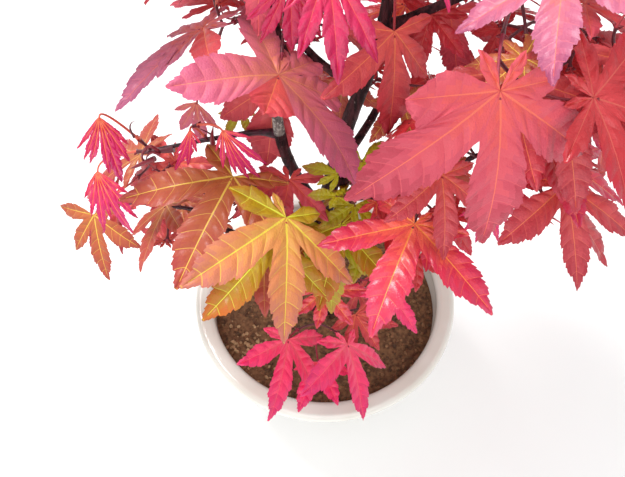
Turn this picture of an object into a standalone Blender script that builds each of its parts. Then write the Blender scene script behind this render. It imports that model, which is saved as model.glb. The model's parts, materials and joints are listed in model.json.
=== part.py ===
"""A maple bonsai in its round glazed pot, as closed solids: pot, soil, trunk, boughs, masses of leaves.

Sizes are in millimetres and degrees, and MM turns them into Blender's metres. The origin is the middle
of the pot's flat underside, +Z is up and -Y is the front. A bearing is seen from above: 0 is the front,
90 the right, 180 the back and 270 the left.
"""

import math
from collections import namedtuple

import bmesh
import bpy
import numpy as np
from mathutils.bvhtree import BVHTree

MM = 0.001
GAP = 0.3  # what touching pieces keep clear

# The pot and the soil in it
POT_HEIGHT = 80.0
RIM_RADIUS = 75.0
LIP_WIDTH = 10.5
LIP_DEPTH = 7.0
WALL = 4.5
SHOULDER_RADIUS = 71.0
FOOT_RADIUS = 45.0
FLOOR = 7.0
SOIL_DROP = 12.0
SOIL_MOUND = 3.0
SOIL_FLAT = 14.0
BELLY = 0.6  # how early the wall fills out on its way up
WALL_STEPS = 6
POT_STEPS = 40

# The trunk: height above the table and lean to the right
SOIL_TOP = POT_HEIGHT - SOIL_DROP
TRUNK_FOOT = SOIL_TOP + GAP
TRUNK_KNOTS = ((TRUNK_FOOT, 0.0), (105.0, -2.0), (140.0, -2.5), (170.0, -1.0), (200.0, 3.0),
               (230.0, 7.5), (260.0, 14.0), (286.0, 18.0), (308.0, 19.0))
TRUNK_RADIUS = 5.4
TRUNK_TIP = 2.0
FLARE = 3.6
FLARE_HEIGHT = 7.0
TRUNK_STEPS = 3  # points to each stretch between knots
TRUNK_ROUNDS = 3

# A bough leaves its parent's axis at a height, goes out along a bearing by reach and up by rise, and
# curl above 1 turns it upright at its end; sway bends it sideways; base and tip are radii.
Bough = namedtuple("Bough", "name parent height bearing reach rise curl sway base tip")
BOUGHS = (
    Bough("limb_left", "trunk", 164, 270, 20, 73, 2.0, 0, 3.0, 2.2),
    Bough("side_branch", "limb_left", 223, 266, 18, -2, 1.0, -1, 1.5, 1.2),
    Bough("low_shoot", "trunk", 86, 354, 27, 28, 1.5, 2, 1.6, 1.1),
    Bough("front_twig", "trunk", 172, 20, 10, 12, 1.3, 0, 1.3, 1.0),
    Bough("bough_front_left", "trunk", 152, 320, 24, 34, 1.6, -2, 2.0, 1.3),
    Bough("bough_low_left", "trunk", 136, 281, 54, 40, 1.4, 4, 2.0, 1.3),
    Bough("bough_right", "trunk", 190, 58, 40, 42, 1.5, 3, 2.0, 1.3),
    Bough("bough_low_right", "trunk", 176, 86, 58, 32, 1.4, -4, 2.1, 1.3),
    Bough("bough_top_right", "trunk", 280, 84, 34, 24, 1.5, 3, 1.9, 1.2),
    Bough("bough_top_left", "trunk", 250, 250, 28, 26, 1.5, 3, 1.9, 1.2),
    Bough("bough_back_left", "trunk", 222, 218, 46, 36, 1.5, 4, 2.1, 1.3),
    Bough("bough_back_right", "trunk", 196, 148, 50, 36, 1.5, -4, 2.1, 1.3),
)
BOUGH_STEPS = 9
BOUGH_ROUNDS = 2

# A mass of leaves: the limb that carries it, where its stem ends, and the middle, half sizes and
# number of leaves of the space that the seeded leaves fill
ROSE = (0.78, 0.06, 0.14)
SCARLET = (0.75, 0.05, 0.05)
CRIMSON = (0.45, 0.03, 0.06)
DUSTY = (0.55, 0.13, 0.16)
ORANGE = (0.66, 0.22, 0.06)
RUSSET = (0.42, 0.10, 0.05)
OLIVE = (0.22, 0.27, 0.03)
Mass = namedtuple("Mass", "name limb stem middle half fill tint")
MASSES = (
    Mass("low_shoot_leaves", "low_shoot", (-4, -41, 126), (30, -36, 112), (22, 20, 10), 0, ROSE),
    Mass("centre_green_leaves", "front_twig", (10, -16, 196), (8, -20, 190), (14, 8, 14), 2, OLIVE),
    Mass("front_left_leaves", "bough_front_left", (-25, -27, 195), (-44, -34, 196), (30, 20, 10), 0,
         ORANGE),
    Mass("side_tip_leaves", "side_branch", (-76, 0, 212), (-112, 8, 206), (10, 14, 14), 0, ROSE),
    Mass("low_left_leaves", "bough_low_left", (-72, -10, 184), (-84, 10, 172), (30, 30, 12), 3, RUSSET),
    Mass("right_front_leaves", "bough_right", (44, -22, 232), (60, -36, 214), (22, 20, 14), 3, SCARLET),
    Mass("low_right_leaves", "bough_low_right", (74, -4, 218), (90, 0, 226), (34, 44, 26), 9, CRIMSON),
    Mass("top_right_leaves", "bough_top_right", (58, -10, 306), (76, -20, 296), (34, 40, 26), 9, DUSTY),
    Mass("upper_left_leaves", "bough_top_left", (-28, 6, 284), (-42, 26, 296), (46, 40, 24), 8, DUSTY),
    Mass("crown_leaves", "trunk", (18, 12, 330), (16, 20, 328), (50, 48, 17), 13, ROSE),
    Mass("back_left_leaves", "bough_back_left", (-30, 44, 262), (-28, 62, 264), (48, 38, 32), 13, ORANGE),
    Mass("back_right_leaves", "bough_back_right", (38, 50, 240), (48, 66, 246), (48, 40, 36), 14,
         CRIMSON),
)

# Leaves with a set place: mass, joint of blade and petiole, bearing, dip and roll of the blade, length
# from the joint to the middle tip, petiole, kind
Leaf = namedtuple("Leaf", "mass at bearing dip roll span petiole kind")
SET_LEAVES = (
    Leaf("front_left_leaves", (-17, -48, 233), 1, 26, 30, 48, 18, "broad"),
    Leaf("front_left_leaves", (-40, -16, 215), 336, 5, 2, 52, 18, "broad"),
    Leaf("front_left_leaves", (-23, -39, 200), 8, 22, 10, 42, 12, "broad"),
    Leaf("front_left_leaves", (-17, -11, 206), 350, 10, 0, 28, 7, "broad"),
    Leaf("right_front_leaves", (31, -49, 230), 339, 2, -2, 45, 18, "broad"),
    Leaf("right_front_leaves", (39, -41, 250), 5, 25, 20, 29, 12, "broad"),
    Leaf("right_front_leaves", (62, -34, 226), 350, 60, 0, 24, 10, "young"),
    Leaf("right_front_leaves", (37, -43, 196), 40, 30, 0, 24, 14, "broad"),
    Leaf("low_shoot_leaves", (-19, -50, 127), 352, 13, 45, 37, 10, "broad"),
    Leaf("low_shoot_leaves", (10, -52, 126), 16, 16, 36, 35, 10, "broad"),
    Leaf("low_shoot_leaves", (-4, -51, 101), 22, 0, 0, 27, 8, "broad"),
    Leaf("low_shoot_leaves", (-1, -34, 148), 10, 20, 0, 30, 12, "broad"),
    Leaf("low_shoot_leaves", (15, -31, 116), 50, 10, 0, 28, 12, "broad"),
    Leaf("low_shoot_leaves", (28, -27, 140), 40, 30, 0, 30, 14, "broad"),
    Leaf("centre_green_leaves", (4, -15, 215), 290, 10, 0, 17, 10, "broad"),
    Leaf("centre_green_leaves", (13, -13, 222), 340, 0, 0, 21, 8, "broad"),
    Leaf("centre_green_leaves", (3, -24, 212), 270, 0, 0, 13, 8, "broad"),
    Leaf("centre_green_leaves", (11, -20, 200), 10, 15, 0, 19, 8, "broad"),
    Leaf("centre_green_leaves", (17, -20, 172), 340, 10, 0, 22, 14, "broad"),
    Leaf("side_tip_leaves", (-90, -8, 243), 20, 72, 10, 34, 14, "young"),
    Leaf("side_tip_leaves", (-102, -2, 200), 22, 45, -20, 33, 14, "young"),
    Leaf("side_tip_leaves", (-55, -11, 239), 4, 72, 20, 19, 8, "young"),
    Leaf("side_tip_leaves", (-42, -12, 240), 32, 52, -30, 25, 8, "young"),
    Leaf("low_left_leaves", (-112, -2, 165), 7, 38, -30, 34, 14, "broad"),
    Leaf("low_left_leaves", (-71, -16, 194), 337, 8, -35, 33, 12, "broad"),
    Leaf("low_right_leaves", (89, -34, 234), 6, 15, 14, 40, 18, "broad"),
    Leaf("top_right_leaves", (43, -62, 316), 4, 56, 20, 51, 24, "broad"),
    Leaf("top_right_leaves", (62, -30, 330), 345, 5, -20, 38, 20, "broad"),
    Leaf("top_right_leaves", (58, -32, 298), 330, 0, -10, 30, 14, "broad"),
    Leaf("upper_left_leaves", (-19, -14, 272), 355, -5, 30, 45, 12, "broad"),
    Leaf("upper_left_leaves", (-48, 14, 268), 306, 8, -28, 42, 18, "broad"),
    Leaf("crown_leaves", (19, -19, 297), 357, 60, 38, 43, 14, "broad"),
    Leaf("crown_leaves", (-14, -20, 318), 32, 75, -15, 30, 14, "young"),
    Leaf("crown_leaves", (-3, -26, 328), 9, 30, 5, 36, 16, "young"),
    Leaf("back_right_leaves", (44, 18, 272), 0, 5, 0, 32, 16, "broad"),
)

# Spaces that stay open through the crown: the ends of each one's middle line, and its radius
Window = namedtuple("Window", "high low radius")
WINDOWS = (
    Window((-51, -66, 330), (-97, 74, 190), 26),
    Window((-67, -89, 230), (-107, -13, 70), 30),
    Window((70, -87, 230), (123, -10, 70), 31),
    Window((23, -57, 330), (70, 165, 120), 6),
    Window((-1, -84, 330), (8, 97, 120), 6),
    Window((7, -84, 330), (29, 97, 120), 7),
)

# Lobes of a blade: direction from the middle lobe and length against it
LOBES = {
    "broad": ((0, 1.0), (54, 0.90), (107, 0.56), (150, 0.26)),
    "young": ((0, 1.0), (19, 0.88), (39, 0.66), (62, 0.40)),
}
LOBE_HALF_WIDTH = {"broad": 0.17, "young": 0.085}
SHOULDER = 0.55  # where along a lobe it is widest
SINUS = {"broad": 0.36, "young": 0.30}
DROOP = {"broad": 0.15, "young": 0.25}
BLADE_THICKNESS = 1.4
THICKEST = 0.12  # how far along the middle lobe, so the petiole meets few faces
SUNK = 0.05  # how far the petiole runs on inside the blade
CLEARANCE = 0.8
STEM_TIP = 0.95
STALK_RADII = np.array([0.80, 0.70, 0.60, 0.52])
CROWN_MIDDLE = np.array([10.0, 5.0, 0.0])  # what the seeded leaves look away from
TRIES = 400
SEED = 11


def heading(bearing):
    """The level unit vector along a bearing."""
    turn = math.radians(bearing)
    return np.array([math.sin(turn), -math.cos(turn), 0.0])


def smooth(knots, steps):
    """A Catmull-Rom path through the knots, with steps points to each stretch."""
    knots = np.asarray(knots, float)
    ends = np.vstack([2 * knots[0] - knots[1], knots, 2 * knots[-1] - knots[-2]])
    path = []
    for a, b, c, d in zip(ends, ends[1:], ends[2:], ends[3:]):
        for t in np.arange(steps) / steps:
            path.append(0.5 * (2 * b + (c - a) * t + (2 * a - 5 * b + 4 * c - d) * t * t
                               + (3 * b - a - 3 * c + d) * t ** 3))
    return np.array(path + [knots[-1]])


def tube(path, radii, sides):
    """Rings of a tapering tube with flat ends round a path, as points and faces."""
    path = np.asarray(path, float)
    along = np.gradient(path, axis=0)
    along /= np.linalg.norm(along, axis=1)[:, None]
    guide = np.array([0.0, 0.0, 1.0]) if abs(along[0][2]) < 0.8 else np.array([0.0, 1.0, 0.0])
    points = []
    for centre, ahead, radius in zip(path, along, radii):
        across = np.cross(ahead, guide)
        across /= np.linalg.norm(across)
        upward = np.cross(across, ahead)
        guide = upward
        for k in range(sides):
            turn = 2 * math.pi * k / sides
            points.append(centre + radius * (math.cos(turn) * across + math.sin(turn) * upward))
    faces = []
    for ring in range(len(path) - 1):
        for k in range(sides):
            a, b = ring * sides + k, ring * sides + (k + 1) % sides
            faces.append((a, a + sides, b + sides, b))
    faces.append(tuple(range(sides)))
    faces.append(tuple(range((len(path) - 1) * sides, len(path) * sides))[::-1])
    return np.array(points), faces


def trunk_axis():
    """The trunk's path and its radius at each point: a steady taper over a flared root.

    The first step is upright, so that the cut at the foot is level.
    """
    path = smooth([(lean, 0.0, height) for height, lean in TRUNK_KNOTS], TRUNK_STEPS)
    path[1, 0] = path[0, 0]
    share = (path[:, 2] - path[0, 2]) / (path[-1, 2] - path[0, 2])
    radii = TRUNK_RADIUS + (TRUNK_TIP - TRUNK_RADIUS) * share
    radii += FLARE * np.exp(-(path[:, 2] - path[0, 2]) / FLARE_HEIGHT)
    return path, radii


def bough_axis(bough, parent_path):
    """A bough's path from its parent's axis, and its radius at each point."""
    heights = parent_path[:, 2]
    start = np.array([np.interp(bough.height, heights, parent_path[:, i]) for i in range(3)])
    t = np.linspace(0.0, 1.0, BOUGH_STEPS)[:, None]
    outward = heading(bough.bearing) * bough.reach * (1 - (1 - t) ** bough.curl)
    sideways = heading(bough.bearing + 90) * bough.sway * np.sin(math.pi * t)
    path = start + outward + sideways + np.array([0.0, 0.0, bough.rise]) * t
    return path, bough.base + (bough.tip - bough.base) * t[:, 0]


def blade_frame(bearing, dip, roll):
    """Unit vectors of a blade: along its middle lobe, across it to the right, and up out of it."""
    dip, roll = math.radians(dip), math.radians(roll)
    ahead = heading(bearing)
    level = np.array([0.0, 0.0, 1.0])
    along = ahead * math.cos(dip) - level * math.sin(dip)
    up = ahead * math.sin(dip) + level * math.cos(dip)
    right = np.cross(up, along)
    up = up * math.cos(roll) + right * math.sin(roll)
    return along, np.cross(up, along), up


def blade_outline(kind):
    """Distance and direction, against the middle lobe, of the points round a blade of length 1."""
    half = LOBES[kind]
    lobes = [(-turn, size) for turn, size in half[:0:-1]] + list(half)
    widen = math.atan2(LOBE_HALF_WIDTH[kind], SHOULDER)
    reach = math.hypot(LOBE_HALF_WIDTH[kind], SHOULDER)
    ring = []
    for (turn, size), after in zip(lobes, lobes[1:] + [None]):
        turn = math.radians(turn)
        if size > 0.3:
            ring += [(reach * size, turn - widen), (size, turn), (reach * size, turn + widen)]
        else:
            ring.append((size, turn))
        if after:
            between = (turn + math.radians(after[0])) / 2
            ring.append((SINUS[kind] * min(size, after[1]) + 0.04, between))
    return ring + [(0.06, math.pi)]


def blade(leaf, grow=0.0):
    """A blade as a thin closed fan, thickest just past its joint; grow enlarges it all round."""
    along, right, up = blade_frame(leaf.bearing, leaf.dip, leaf.roll)
    centre = np.array(leaf.at, float)
    rim = []
    for distance, turn in blade_outline(leaf.kind):
        flat = (distance * leaf.span + grow) * (math.cos(turn) * along + math.sin(turn) * right)
        rim.append(centre + flat - up * DROOP[leaf.kind] * leaf.span * distance ** 2)
    thickest = centre + along * leaf.span * THICKEST
    half = BLADE_THICKNESS / 2 + grow
    points = np.array(rim + [thickest + up * half, thickest - up * half])
    count = len(rim)
    faces = []
    for k in range(count):
        faces.append((k, (k + 1) % count, count))
        faces.append(((k + 1) % count, k, count + 1))
    return points, faces


def enters(points, window):
    """Whether any point is nearer to a window's middle line than its radius."""
    high = np.array(window.high, float)
    line = np.array(window.low, float) - high
    share = np.clip((points - high) @ line / (line @ line), 0.0, 1.0)[:, None]
    return (np.linalg.norm(points - high - share * line, axis=1) < window.radius).any()


def tree_of(shape):
    points, faces = shape
    return BVHTree.FromPolygons([tuple(p) for p in points], faces)


class Growth:
    """The leaves and twigs grown so far, and what they must keep clear of."""

    def __init__(self, limbs):
        self.limbs = [tree_of(tube(path, radii + CLEARANCE, 8)) for path, radii in limbs.values()]
        self.blades = []  # joint, reach and tree of each blade
        self.twigs = []  # mass name and tree of each stem and twig
        self.nodes = {}  # mass name: points that a twig may leave from
        self.shapes = {}  # mass name: closed shapes to be joined

    def start(self, mass, path, radii):
        """The stem of a mass, from just past the tip of its bough to the middle of the mass."""
        tip, before = path[-1], path[-2]
        ahead = (tip - before) / np.linalg.norm(tip - before)
        first = tip + ahead * GAP
        goal = np.array(mass.stem, float)
        bend = first + ahead * np.linalg.norm(goal - first) * 0.35
        t = np.linspace(0.0, 1.0, 6)[:, None]
        stem = (1 - t) ** 2 * first + 2 * t * (1 - t) * bend + t * t * goal
        self.nodes[mass.name] = list(stem[2:])
        shape = tube(stem, np.linspace(radii[-1], STEM_TIP, 6), 5)
        self.shapes[mass.name] = [shape]
        self.twigs.append((mass.name, tree_of(shape)))

    def stalk(self, leaf):
        """The path of a leaf's twig and petiole, which bends over from the nearest node of its mass."""
        at = np.array(leaf.at, float)
        along, _, _ = blade_frame(leaf.bearing, leaf.dip, leaf.roll)
        dip = math.radians(leaf.dip)
        behind = (0.35 + 0.45 * math.cos(dip)) * heading(leaf.bearing)
        below = np.array([0.0, 0.0, 0.45 - 0.75 * math.sin(dip)])
        elbow = at - leaf.petiole * (behind + below)
        nodes = np.array(self.nodes[leaf.mass])
        root = nodes[int(np.argmin(np.linalg.norm(nodes - elbow, axis=1)))]
        t = np.linspace(0.0, 1.0, len(STALK_RADII))[:, None]
        end = at + along * leaf.span * SUNK
        return (1 - t) ** 2 * root + 2 * t * (1 - t) * elbow + t * t * end

    def clear(self, leaf):
        """Whether a leaf and its twig keep clear of windows, limbs, other masses and other blades."""
        if any(enters(blade(leaf)[0], window) for window in WINDOWS):
            return False
        grown = tree_of(blade(leaf, CLEARANCE))
        at = np.array(leaf.at, float)
        for joint, reach, other in self.blades:
            if np.linalg.norm(at - joint) < leaf.span + reach and grown.overlap(other):
                return False
        if any(grown.overlap(thing) for thing in self.limbs + [twig for _, twig in self.twigs]):
            return False
        stalk = tree_of(tube(self.stalk(leaf), STALK_RADII + CLEARANCE, 4))
        if any(stalk.overlap(other) for _, _, other in self.blades):
            return False
        if any(name != leaf.mass and stalk.overlap(twig) for name, twig in self.twigs):
            return False
        return not any(stalk.overlap(limb) for limb in self.limbs)

    def add(self, leaf):
        path = self.stalk(leaf)
        stalk = tube(path, STALK_RADII, 3)
        shape = blade(leaf)
        self.shapes[leaf.mass] += [stalk, shape]
        self.blades.append((np.array(leaf.at, float), leaf.span, tree_of(shape)))
        self.twigs.append((leaf.mass, tree_of(stalk)))
        self.nodes[leaf.mass] += list(path[1:3])


def seeded_leaf(mass, chance):
    """A leaf somewhere in the mass, which looks away from the trunk and hangs outward."""
    spot = chance.normal(size=3)
    spot *= chance.uniform(0.35, 1.0) / np.linalg.norm(spot)
    at = np.array(mass.middle) + spot * np.array(mass.half)
    away = at - CROWN_MIDDLE
    bearing = math.degrees(math.atan2(away[0], -away[1])) + chance.normal(0, 38)
    return Leaf(mass.name, tuple(at), bearing, chance.uniform(4, 46), chance.normal(0, 14),
                chance.uniform(33, 46), chance.uniform(16, 26), "broad")


def grow_all(limbs):
    growth = Growth(limbs)
    for mass in MASSES:
        growth.start(mass, *limbs[mass.limb])
    for leaf in SET_LEAVES:
        growth.add(leaf)
    chance = np.random.default_rng(SEED)
    wanted = {mass.name: mass.fill for mass in MASSES}
    for _ in range(TRIES):
        for mass in MASSES:
            if wanted[mass.name] <= 0:
                continue
            leaf = seeded_leaf(mass, chance)
            if growth.clear(leaf):
                growth.add(leaf)
                wanted[mass.name] -= 1
    return growth


def material(name, colour, roughness):
    made = bpy.data.materials.new(name)
    made.use_nodes = True
    shader = made.node_tree.nodes["Principled BSDF"]
    shader.inputs["Base Color"].default_value = (*colour, 1.0)
    shader.inputs["Roughness"].default_value = roughness
    return made


def put(name, mesh, collection, paint=None):
    """An object of this mesh in the collection."""
    made = bpy.data.objects.new(name, mesh)
    collection.objects.link(made)
    if paint:
        made.data.materials.append(paint)
    return made


def shape_mesh(name, points, faces):
    mesh = bpy.data.meshes.new(name)
    mesh.from_pydata([tuple(point * MM) for point in points], [], faces)
    return mesh


def evaluated_mesh(thing):
    """A plain mesh of an object with its modifiers applied."""
    graph = bpy.context.evaluated_depsgraph_get()
    return bpy.data.meshes.new_from_object(thing.evaluated_get(graph))


def turned(name, profile, collection, paint):
    """A closed round shape: a profile of radius and height that a Screw turns about the Z axis."""
    mesh = bpy.data.meshes.new(name)
    points = [(radius * MM, 0.0, height * MM) for radius, height in profile]
    mesh.from_pydata(points, [(i, i + 1) for i in range(len(points) - 1)], [])
    made = put(name, mesh, collection, paint)
    screw = made.modifiers.new("turn", "SCREW")
    screw.steps = screw.render_steps = POT_STEPS
    screw.use_merge_vertices = True
    screw.merge_threshold = 0.00001
    return made


def arc(centre, radius, start, end, count):
    """Points round part of a circle in the profile's plane, both ends included."""
    turns = [math.radians(start + (end - start) * i / (count - 1)) for i in range(count)]
    return [(centre[0] + radius * math.cos(turn), centre[1] + radius * math.sin(turn)) for turn in turns]


def cavity():
    """The pot's inner wall below the lip, as radii and heights from the floor up."""
    share = np.linspace(0.0, 1.0, WALL_STEPS + 1)
    radii = FOOT_RADIUS - WALL + (SHOULDER_RADIUS - FOOT_RADIUS) * share ** BELLY
    return radii, FLOOR + (POT_HEIGHT - LIP_DEPTH - FLOOR) * share


def pot(collection):
    """A deep bowl whose rolled lip stands out over a body that tucks in to a flat foot."""
    roll = LIP_DEPTH / 2
    lip_middle = POT_HEIGHT - roll
    inner = list(zip(*cavity()))
    lip = arc((RIM_RADIUS - LIP_WIDTH + roll, lip_middle), roll, 180, 90, 4)
    lip += arc((RIM_RADIUS - roll, lip_middle), roll, 90, -90, 7)
    outer = [(radius + WALL, height) for radius, height in inner[::-1]]
    profile = [(0.0, FLOOR)] + inner + lip + outer[:-1] + [(FOOT_RADIUS, 0.0), (0.0, 0.0)]
    return turned("pot", profile, collection, material("glazed_white", (0.72, 0.72, 0.69), 0.25))


def soil(collection):
    """The pot's filling: flat round the trunk, then falling a little to the wall."""
    low, edge = FLOOR + GAP, SOIL_TOP - SOIL_MOUND
    radii, heights = cavity()
    levels = [edge, *heights[(heights > low) & (heights < edge)][::-1], low]
    wall = [(np.interp(level, heights, radii) - GAP, level) for level in levels]
    top = [(0.0, SOIL_TOP), (SOIL_FLAT, SOIL_TOP)]
    top.append(((SOIL_FLAT + wall[0][0]) / 2, SOIL_TOP - SOIL_MOUND * 0.35))
    profile = top + wall + [(0.0, low)]
    return turned("soil", profile, collection, material("brown_soil", (0.10, 0.055, 0.03), 0.95))


def limb_mesh(name, path, radii, rounds):
    """A tapering limb: a poly curve with a radius at each point, made a mesh with welded caps."""
    curve = bpy.data.curves.new(name, "CURVE")
    curve.dimensions = "3D"
    curve.bevel_depth = MM
    curve.bevel_resolution = rounds
    curve.use_fill_caps = True
    spline = curve.splines.new("POLY")
    spline.points.add(len(path) - 1)
    for point, place, radius in zip(spline.points, path, radii):
        point.co = (*(place * MM), 1.0)
        point.radius = radius
    drawn = put(name, curve, bpy.context.scene.collection)
    mesh = evaluated_mesh(drawn)
    bpy.data.objects.remove(drawn, do_unlink=True)
    weld = bmesh.new()
    weld.from_mesh(mesh)
    bmesh.ops.remove_doubles(weld, verts=weld.verts, dist=0.000001)
    bmesh.ops.recalc_face_normals(weld, faces=weld.faces)
    weld.to_mesh(mesh)
    weld.free()
    mesh.name = name
    return mesh


def limb(name, limbs, collection, cutters, bark):
    """A limb, cut clear of the parent that it springs from by a cutter a gap wider than the parent."""
    path, radii = limbs[name]
    rounds = TRUNK_ROUNDS if name == "trunk" else BOUGH_ROUNDS
    made = put(name, limb_mesh(name, path, radii, rounds), collection, bark)
    parent = next((bough.parent for bough in BOUGHS if bough.name == name), None)
    if parent:
        rounds = TRUNK_ROUNDS if parent == "trunk" else BOUGH_ROUNDS
        wide = limb_mesh(f"{name}_cutter", limbs[parent][0], limbs[parent][1] + GAP, rounds)
        cutter = put(f"{name}_cutter", wide, cutters)
        cutter.hide_render = True
        cutter.display_type = "WIRE"
        cut = made.modifiers.new("clear_of_parent", "BOOLEAN")
        cut.operation = "DIFFERENCE"
        cut.solver = "EXACT"
        cut.object = cutter
    made.data.shade_smooth()
    made.data.set_sharp_from_angle(angle=math.radians(50))
    return made


def islands(shape):
    """The connected groups of faces of a bmesh."""
    left = set(shape.faces)
    groups = []
    while left:
        group, edge = set(), [left.pop()]
        while edge:
            face = edge.pop()
            group.add(face)
            near = {other for side in face.edges for other in side.link_faces} & left
            left -= near
            edge += near
        groups.append(group)
    return groups


def volume_of(faces):
    total = 0.0
    for face in faces:
        first, *rest = [corner.co for corner in face.verts]
        total += sum(first.dot(a.cross(b)) for a, b in zip(rest, rest[1:])) / 6
    return total


def join_mass(name, shapes, collection, paint):
    """One Boolean union of a mass's stem, twigs and blades; scraps and sealed hollows are dropped."""
    pieces = bpy.data.collections.new(f"{name}_pieces")
    bpy.context.scene.collection.children.link(pieces)
    stem = put(name, shape_mesh(name, *shapes[0]), bpy.context.scene.collection)
    for shape in shapes[1:]:
        put(f"{name}_piece", shape_mesh(f"{name}_piece", *shape), pieces)
    union = stem.modifiers.new("join", "BOOLEAN")
    union.operation = "UNION"
    union.operand_type = "COLLECTION"
    union.collection = pieces
    union.solver = "MANIFOLD"
    mesh = evaluated_mesh(stem)
    for piece in [stem, *pieces.objects]:
        bpy.data.objects.remove(piece, do_unlink=True)
    bpy.data.collections.remove(pieces)
    tidy = bmesh.new()
    tidy.from_mesh(mesh)
    bmesh.ops.triangulate(tidy, faces=tidy.faces)
    groups = sorted(islands(tidy), key=volume_of)
    for group in groups[:-1]:
        bmesh.ops.delete(tidy, geom=list(group), context="FACES")
    tidy.to_mesh(mesh)
    tidy.free()
    mesh.name = name
    mesh.materials.clear()
    return put(name, mesh, collection, paint)


def main():
    for old in list(bpy.data.objects):
        bpy.data.objects.remove(old, do_unlink=True)
    collection = bpy.data.collections.new("maple_bonsai")
    bpy.context.scene.collection.children.link(collection)
    cutters = bpy.data.collections.new("cutters")
    bpy.context.scene.collection.children.link(cutters)
    pot(collection)
    soil(collection)
    limbs = {"trunk": trunk_axis()}
    for bough in BOUGHS:
        limbs[bough.name] = bough_axis(bough, limbs[bough.parent][0])
    bark = material("dark_bark", (0.035, 0.018, 0.022), 0.6)
    for name in limbs:
        limb(name, limbs, collection, cutters, bark)
    growth = grow_all(limbs)
    for mass in MASSES:
        paint = material(f"{mass.name}_tint", mass.tint, 0.5)
        join_mass(mass.name, growth.shapes[mass.name], collection, paint)


if __name__ == "__main__":
    main()
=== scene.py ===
# %% [markdown]
# # A maple bonsai in its round glazed pot
# The real thing is a young maple, kept small by pruning, whose leaves stay as large as a garden tree's.
# So each leaf shows its whole drawing: seven lobes, a toothed edge, yellow veins and autumn tints.
# Sizes below are in millimetres and are turned into Blender's metres only when a mesh is made.
# A bearing is seen from above: 0 is the front (-Y), 90 the right, 180 the back and 270 the left.

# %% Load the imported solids
import json
import math
from collections import namedtuple
from itertools import combinations

import bpy
import numpy as np
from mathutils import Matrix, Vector
from mathutils.bvhtree import BVHTree

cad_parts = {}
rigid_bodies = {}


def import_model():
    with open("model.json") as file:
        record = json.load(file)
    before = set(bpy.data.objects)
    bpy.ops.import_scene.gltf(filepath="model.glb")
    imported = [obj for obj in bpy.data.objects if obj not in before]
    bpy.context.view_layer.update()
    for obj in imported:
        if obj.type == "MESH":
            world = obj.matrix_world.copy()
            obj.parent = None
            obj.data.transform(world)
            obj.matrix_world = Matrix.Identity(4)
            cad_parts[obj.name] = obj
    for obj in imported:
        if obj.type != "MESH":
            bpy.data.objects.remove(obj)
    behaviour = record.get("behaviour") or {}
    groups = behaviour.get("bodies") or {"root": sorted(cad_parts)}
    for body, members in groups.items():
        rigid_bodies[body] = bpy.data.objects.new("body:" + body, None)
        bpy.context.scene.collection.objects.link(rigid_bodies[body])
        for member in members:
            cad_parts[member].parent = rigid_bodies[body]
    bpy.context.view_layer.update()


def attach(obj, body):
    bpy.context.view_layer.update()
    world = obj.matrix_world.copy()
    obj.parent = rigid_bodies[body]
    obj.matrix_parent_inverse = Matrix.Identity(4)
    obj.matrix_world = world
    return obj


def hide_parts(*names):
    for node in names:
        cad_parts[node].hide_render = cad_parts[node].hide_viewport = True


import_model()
MM = 0.001

# %% [markdown]
# ## Camera, light and floor
# A bonsai is looked at from close by and from above, so the crown spreads out under the eye like an
# open hand. One lens and one tilt are enough: the camera has no shift and no roll. The studio is a
# white sky with one large soft lamp, which draws the long highlights on glaze and on leaves.

# %% Camera
CAMERA_PLACE = (-7.1, -200.7, 465.9)
CAMERA_TILT = 31.63  # degrees up from straight down
LENS = 43.2

eye = bpy.data.objects.new("camera", bpy.data.cameras.new("camera"))
eye.data.lens = LENS
eye.data.sensor_width = 36.0
eye.data.clip_start = 0.01
eye.location = Vector(CAMERA_PLACE) * MM
eye.rotation_euler = (math.radians(CAMERA_TILT), 0.0, 0.0)
bpy.context.scene.collection.objects.link(eye)
bpy.context.scene.camera = eye
bpy.context.scene.view_settings.view_transform = "Standard"


# %% Light and floor
def area_lamp(name, place, aim, size, power):
    """A square soft lamp that shines from place towards aim."""
    lamp = bpy.data.objects.new(name, bpy.data.lights.new(name, "AREA"))
    lamp.data.size = size
    lamp.data.energy = power
    lamp.location = place
    lamp.rotation_euler = (Vector(aim) - Vector(place)).to_track_quat("-Z", "Y").to_euler()
    bpy.context.scene.collection.objects.link(lamp)
    return lamp


area_lamp("key", (-0.45, 0.35, 1.15), (0.0, 0.0, 0.2), 0.4, 13.0)
area_lamp("fill", (0.1, -1.2, 1.1), (0.0, 0.0, 0.2), 1.4, 12.0)

world = bpy.data.worlds.new("studio")
bpy.context.scene.world = world
world.use_nodes = True
world.node_tree.nodes["Background"].inputs["Color"].default_value = (1.0, 1.0, 1.0, 1.0)
world.node_tree.nodes["Background"].inputs["Strength"].default_value = 0.8

FLOOR_REACH = 6.0
floor_mesh = bpy.data.meshes.new("floor")
corners = [(-FLOOR_REACH, -FLOOR_REACH, 0), (FLOOR_REACH, -FLOOR_REACH, 0),
           (FLOOR_REACH, FLOOR_REACH, 0), (-FLOOR_REACH, FLOOR_REACH, 0)]
floor_mesh.from_pydata(corners, [], [(0, 1, 2, 3)])
floor = bpy.data.objects.new("floor", floor_mesh)
bpy.context.scene.collection.objects.link(floor)
paper = bpy.data.materials.new("white_paper")
paper.use_nodes = True
paper.node_tree.nodes["Principled BSDF"].inputs["Base Color"].default_value = (0.93, 0.93, 0.93, 1.0)
paper.node_tree.nodes["Principled BSDF"].inputs["Roughness"].default_value = 0.9
floor.data.materials.append(paper)

# %% [markdown]
# ## Tools for surfaces
# Every piece below is a grid of points worked out as whole arrays. Three helpers do all the bookkeeping:
# one gives the faces of a grid, one gathers grids into one list of triangles, and one writes the mesh.
# Points that coincide, such as the common point of all the lobes of a leaf, are welded by rounding.

# %% Grids and meshes
WELD = 0.004  # millimetres


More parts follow.
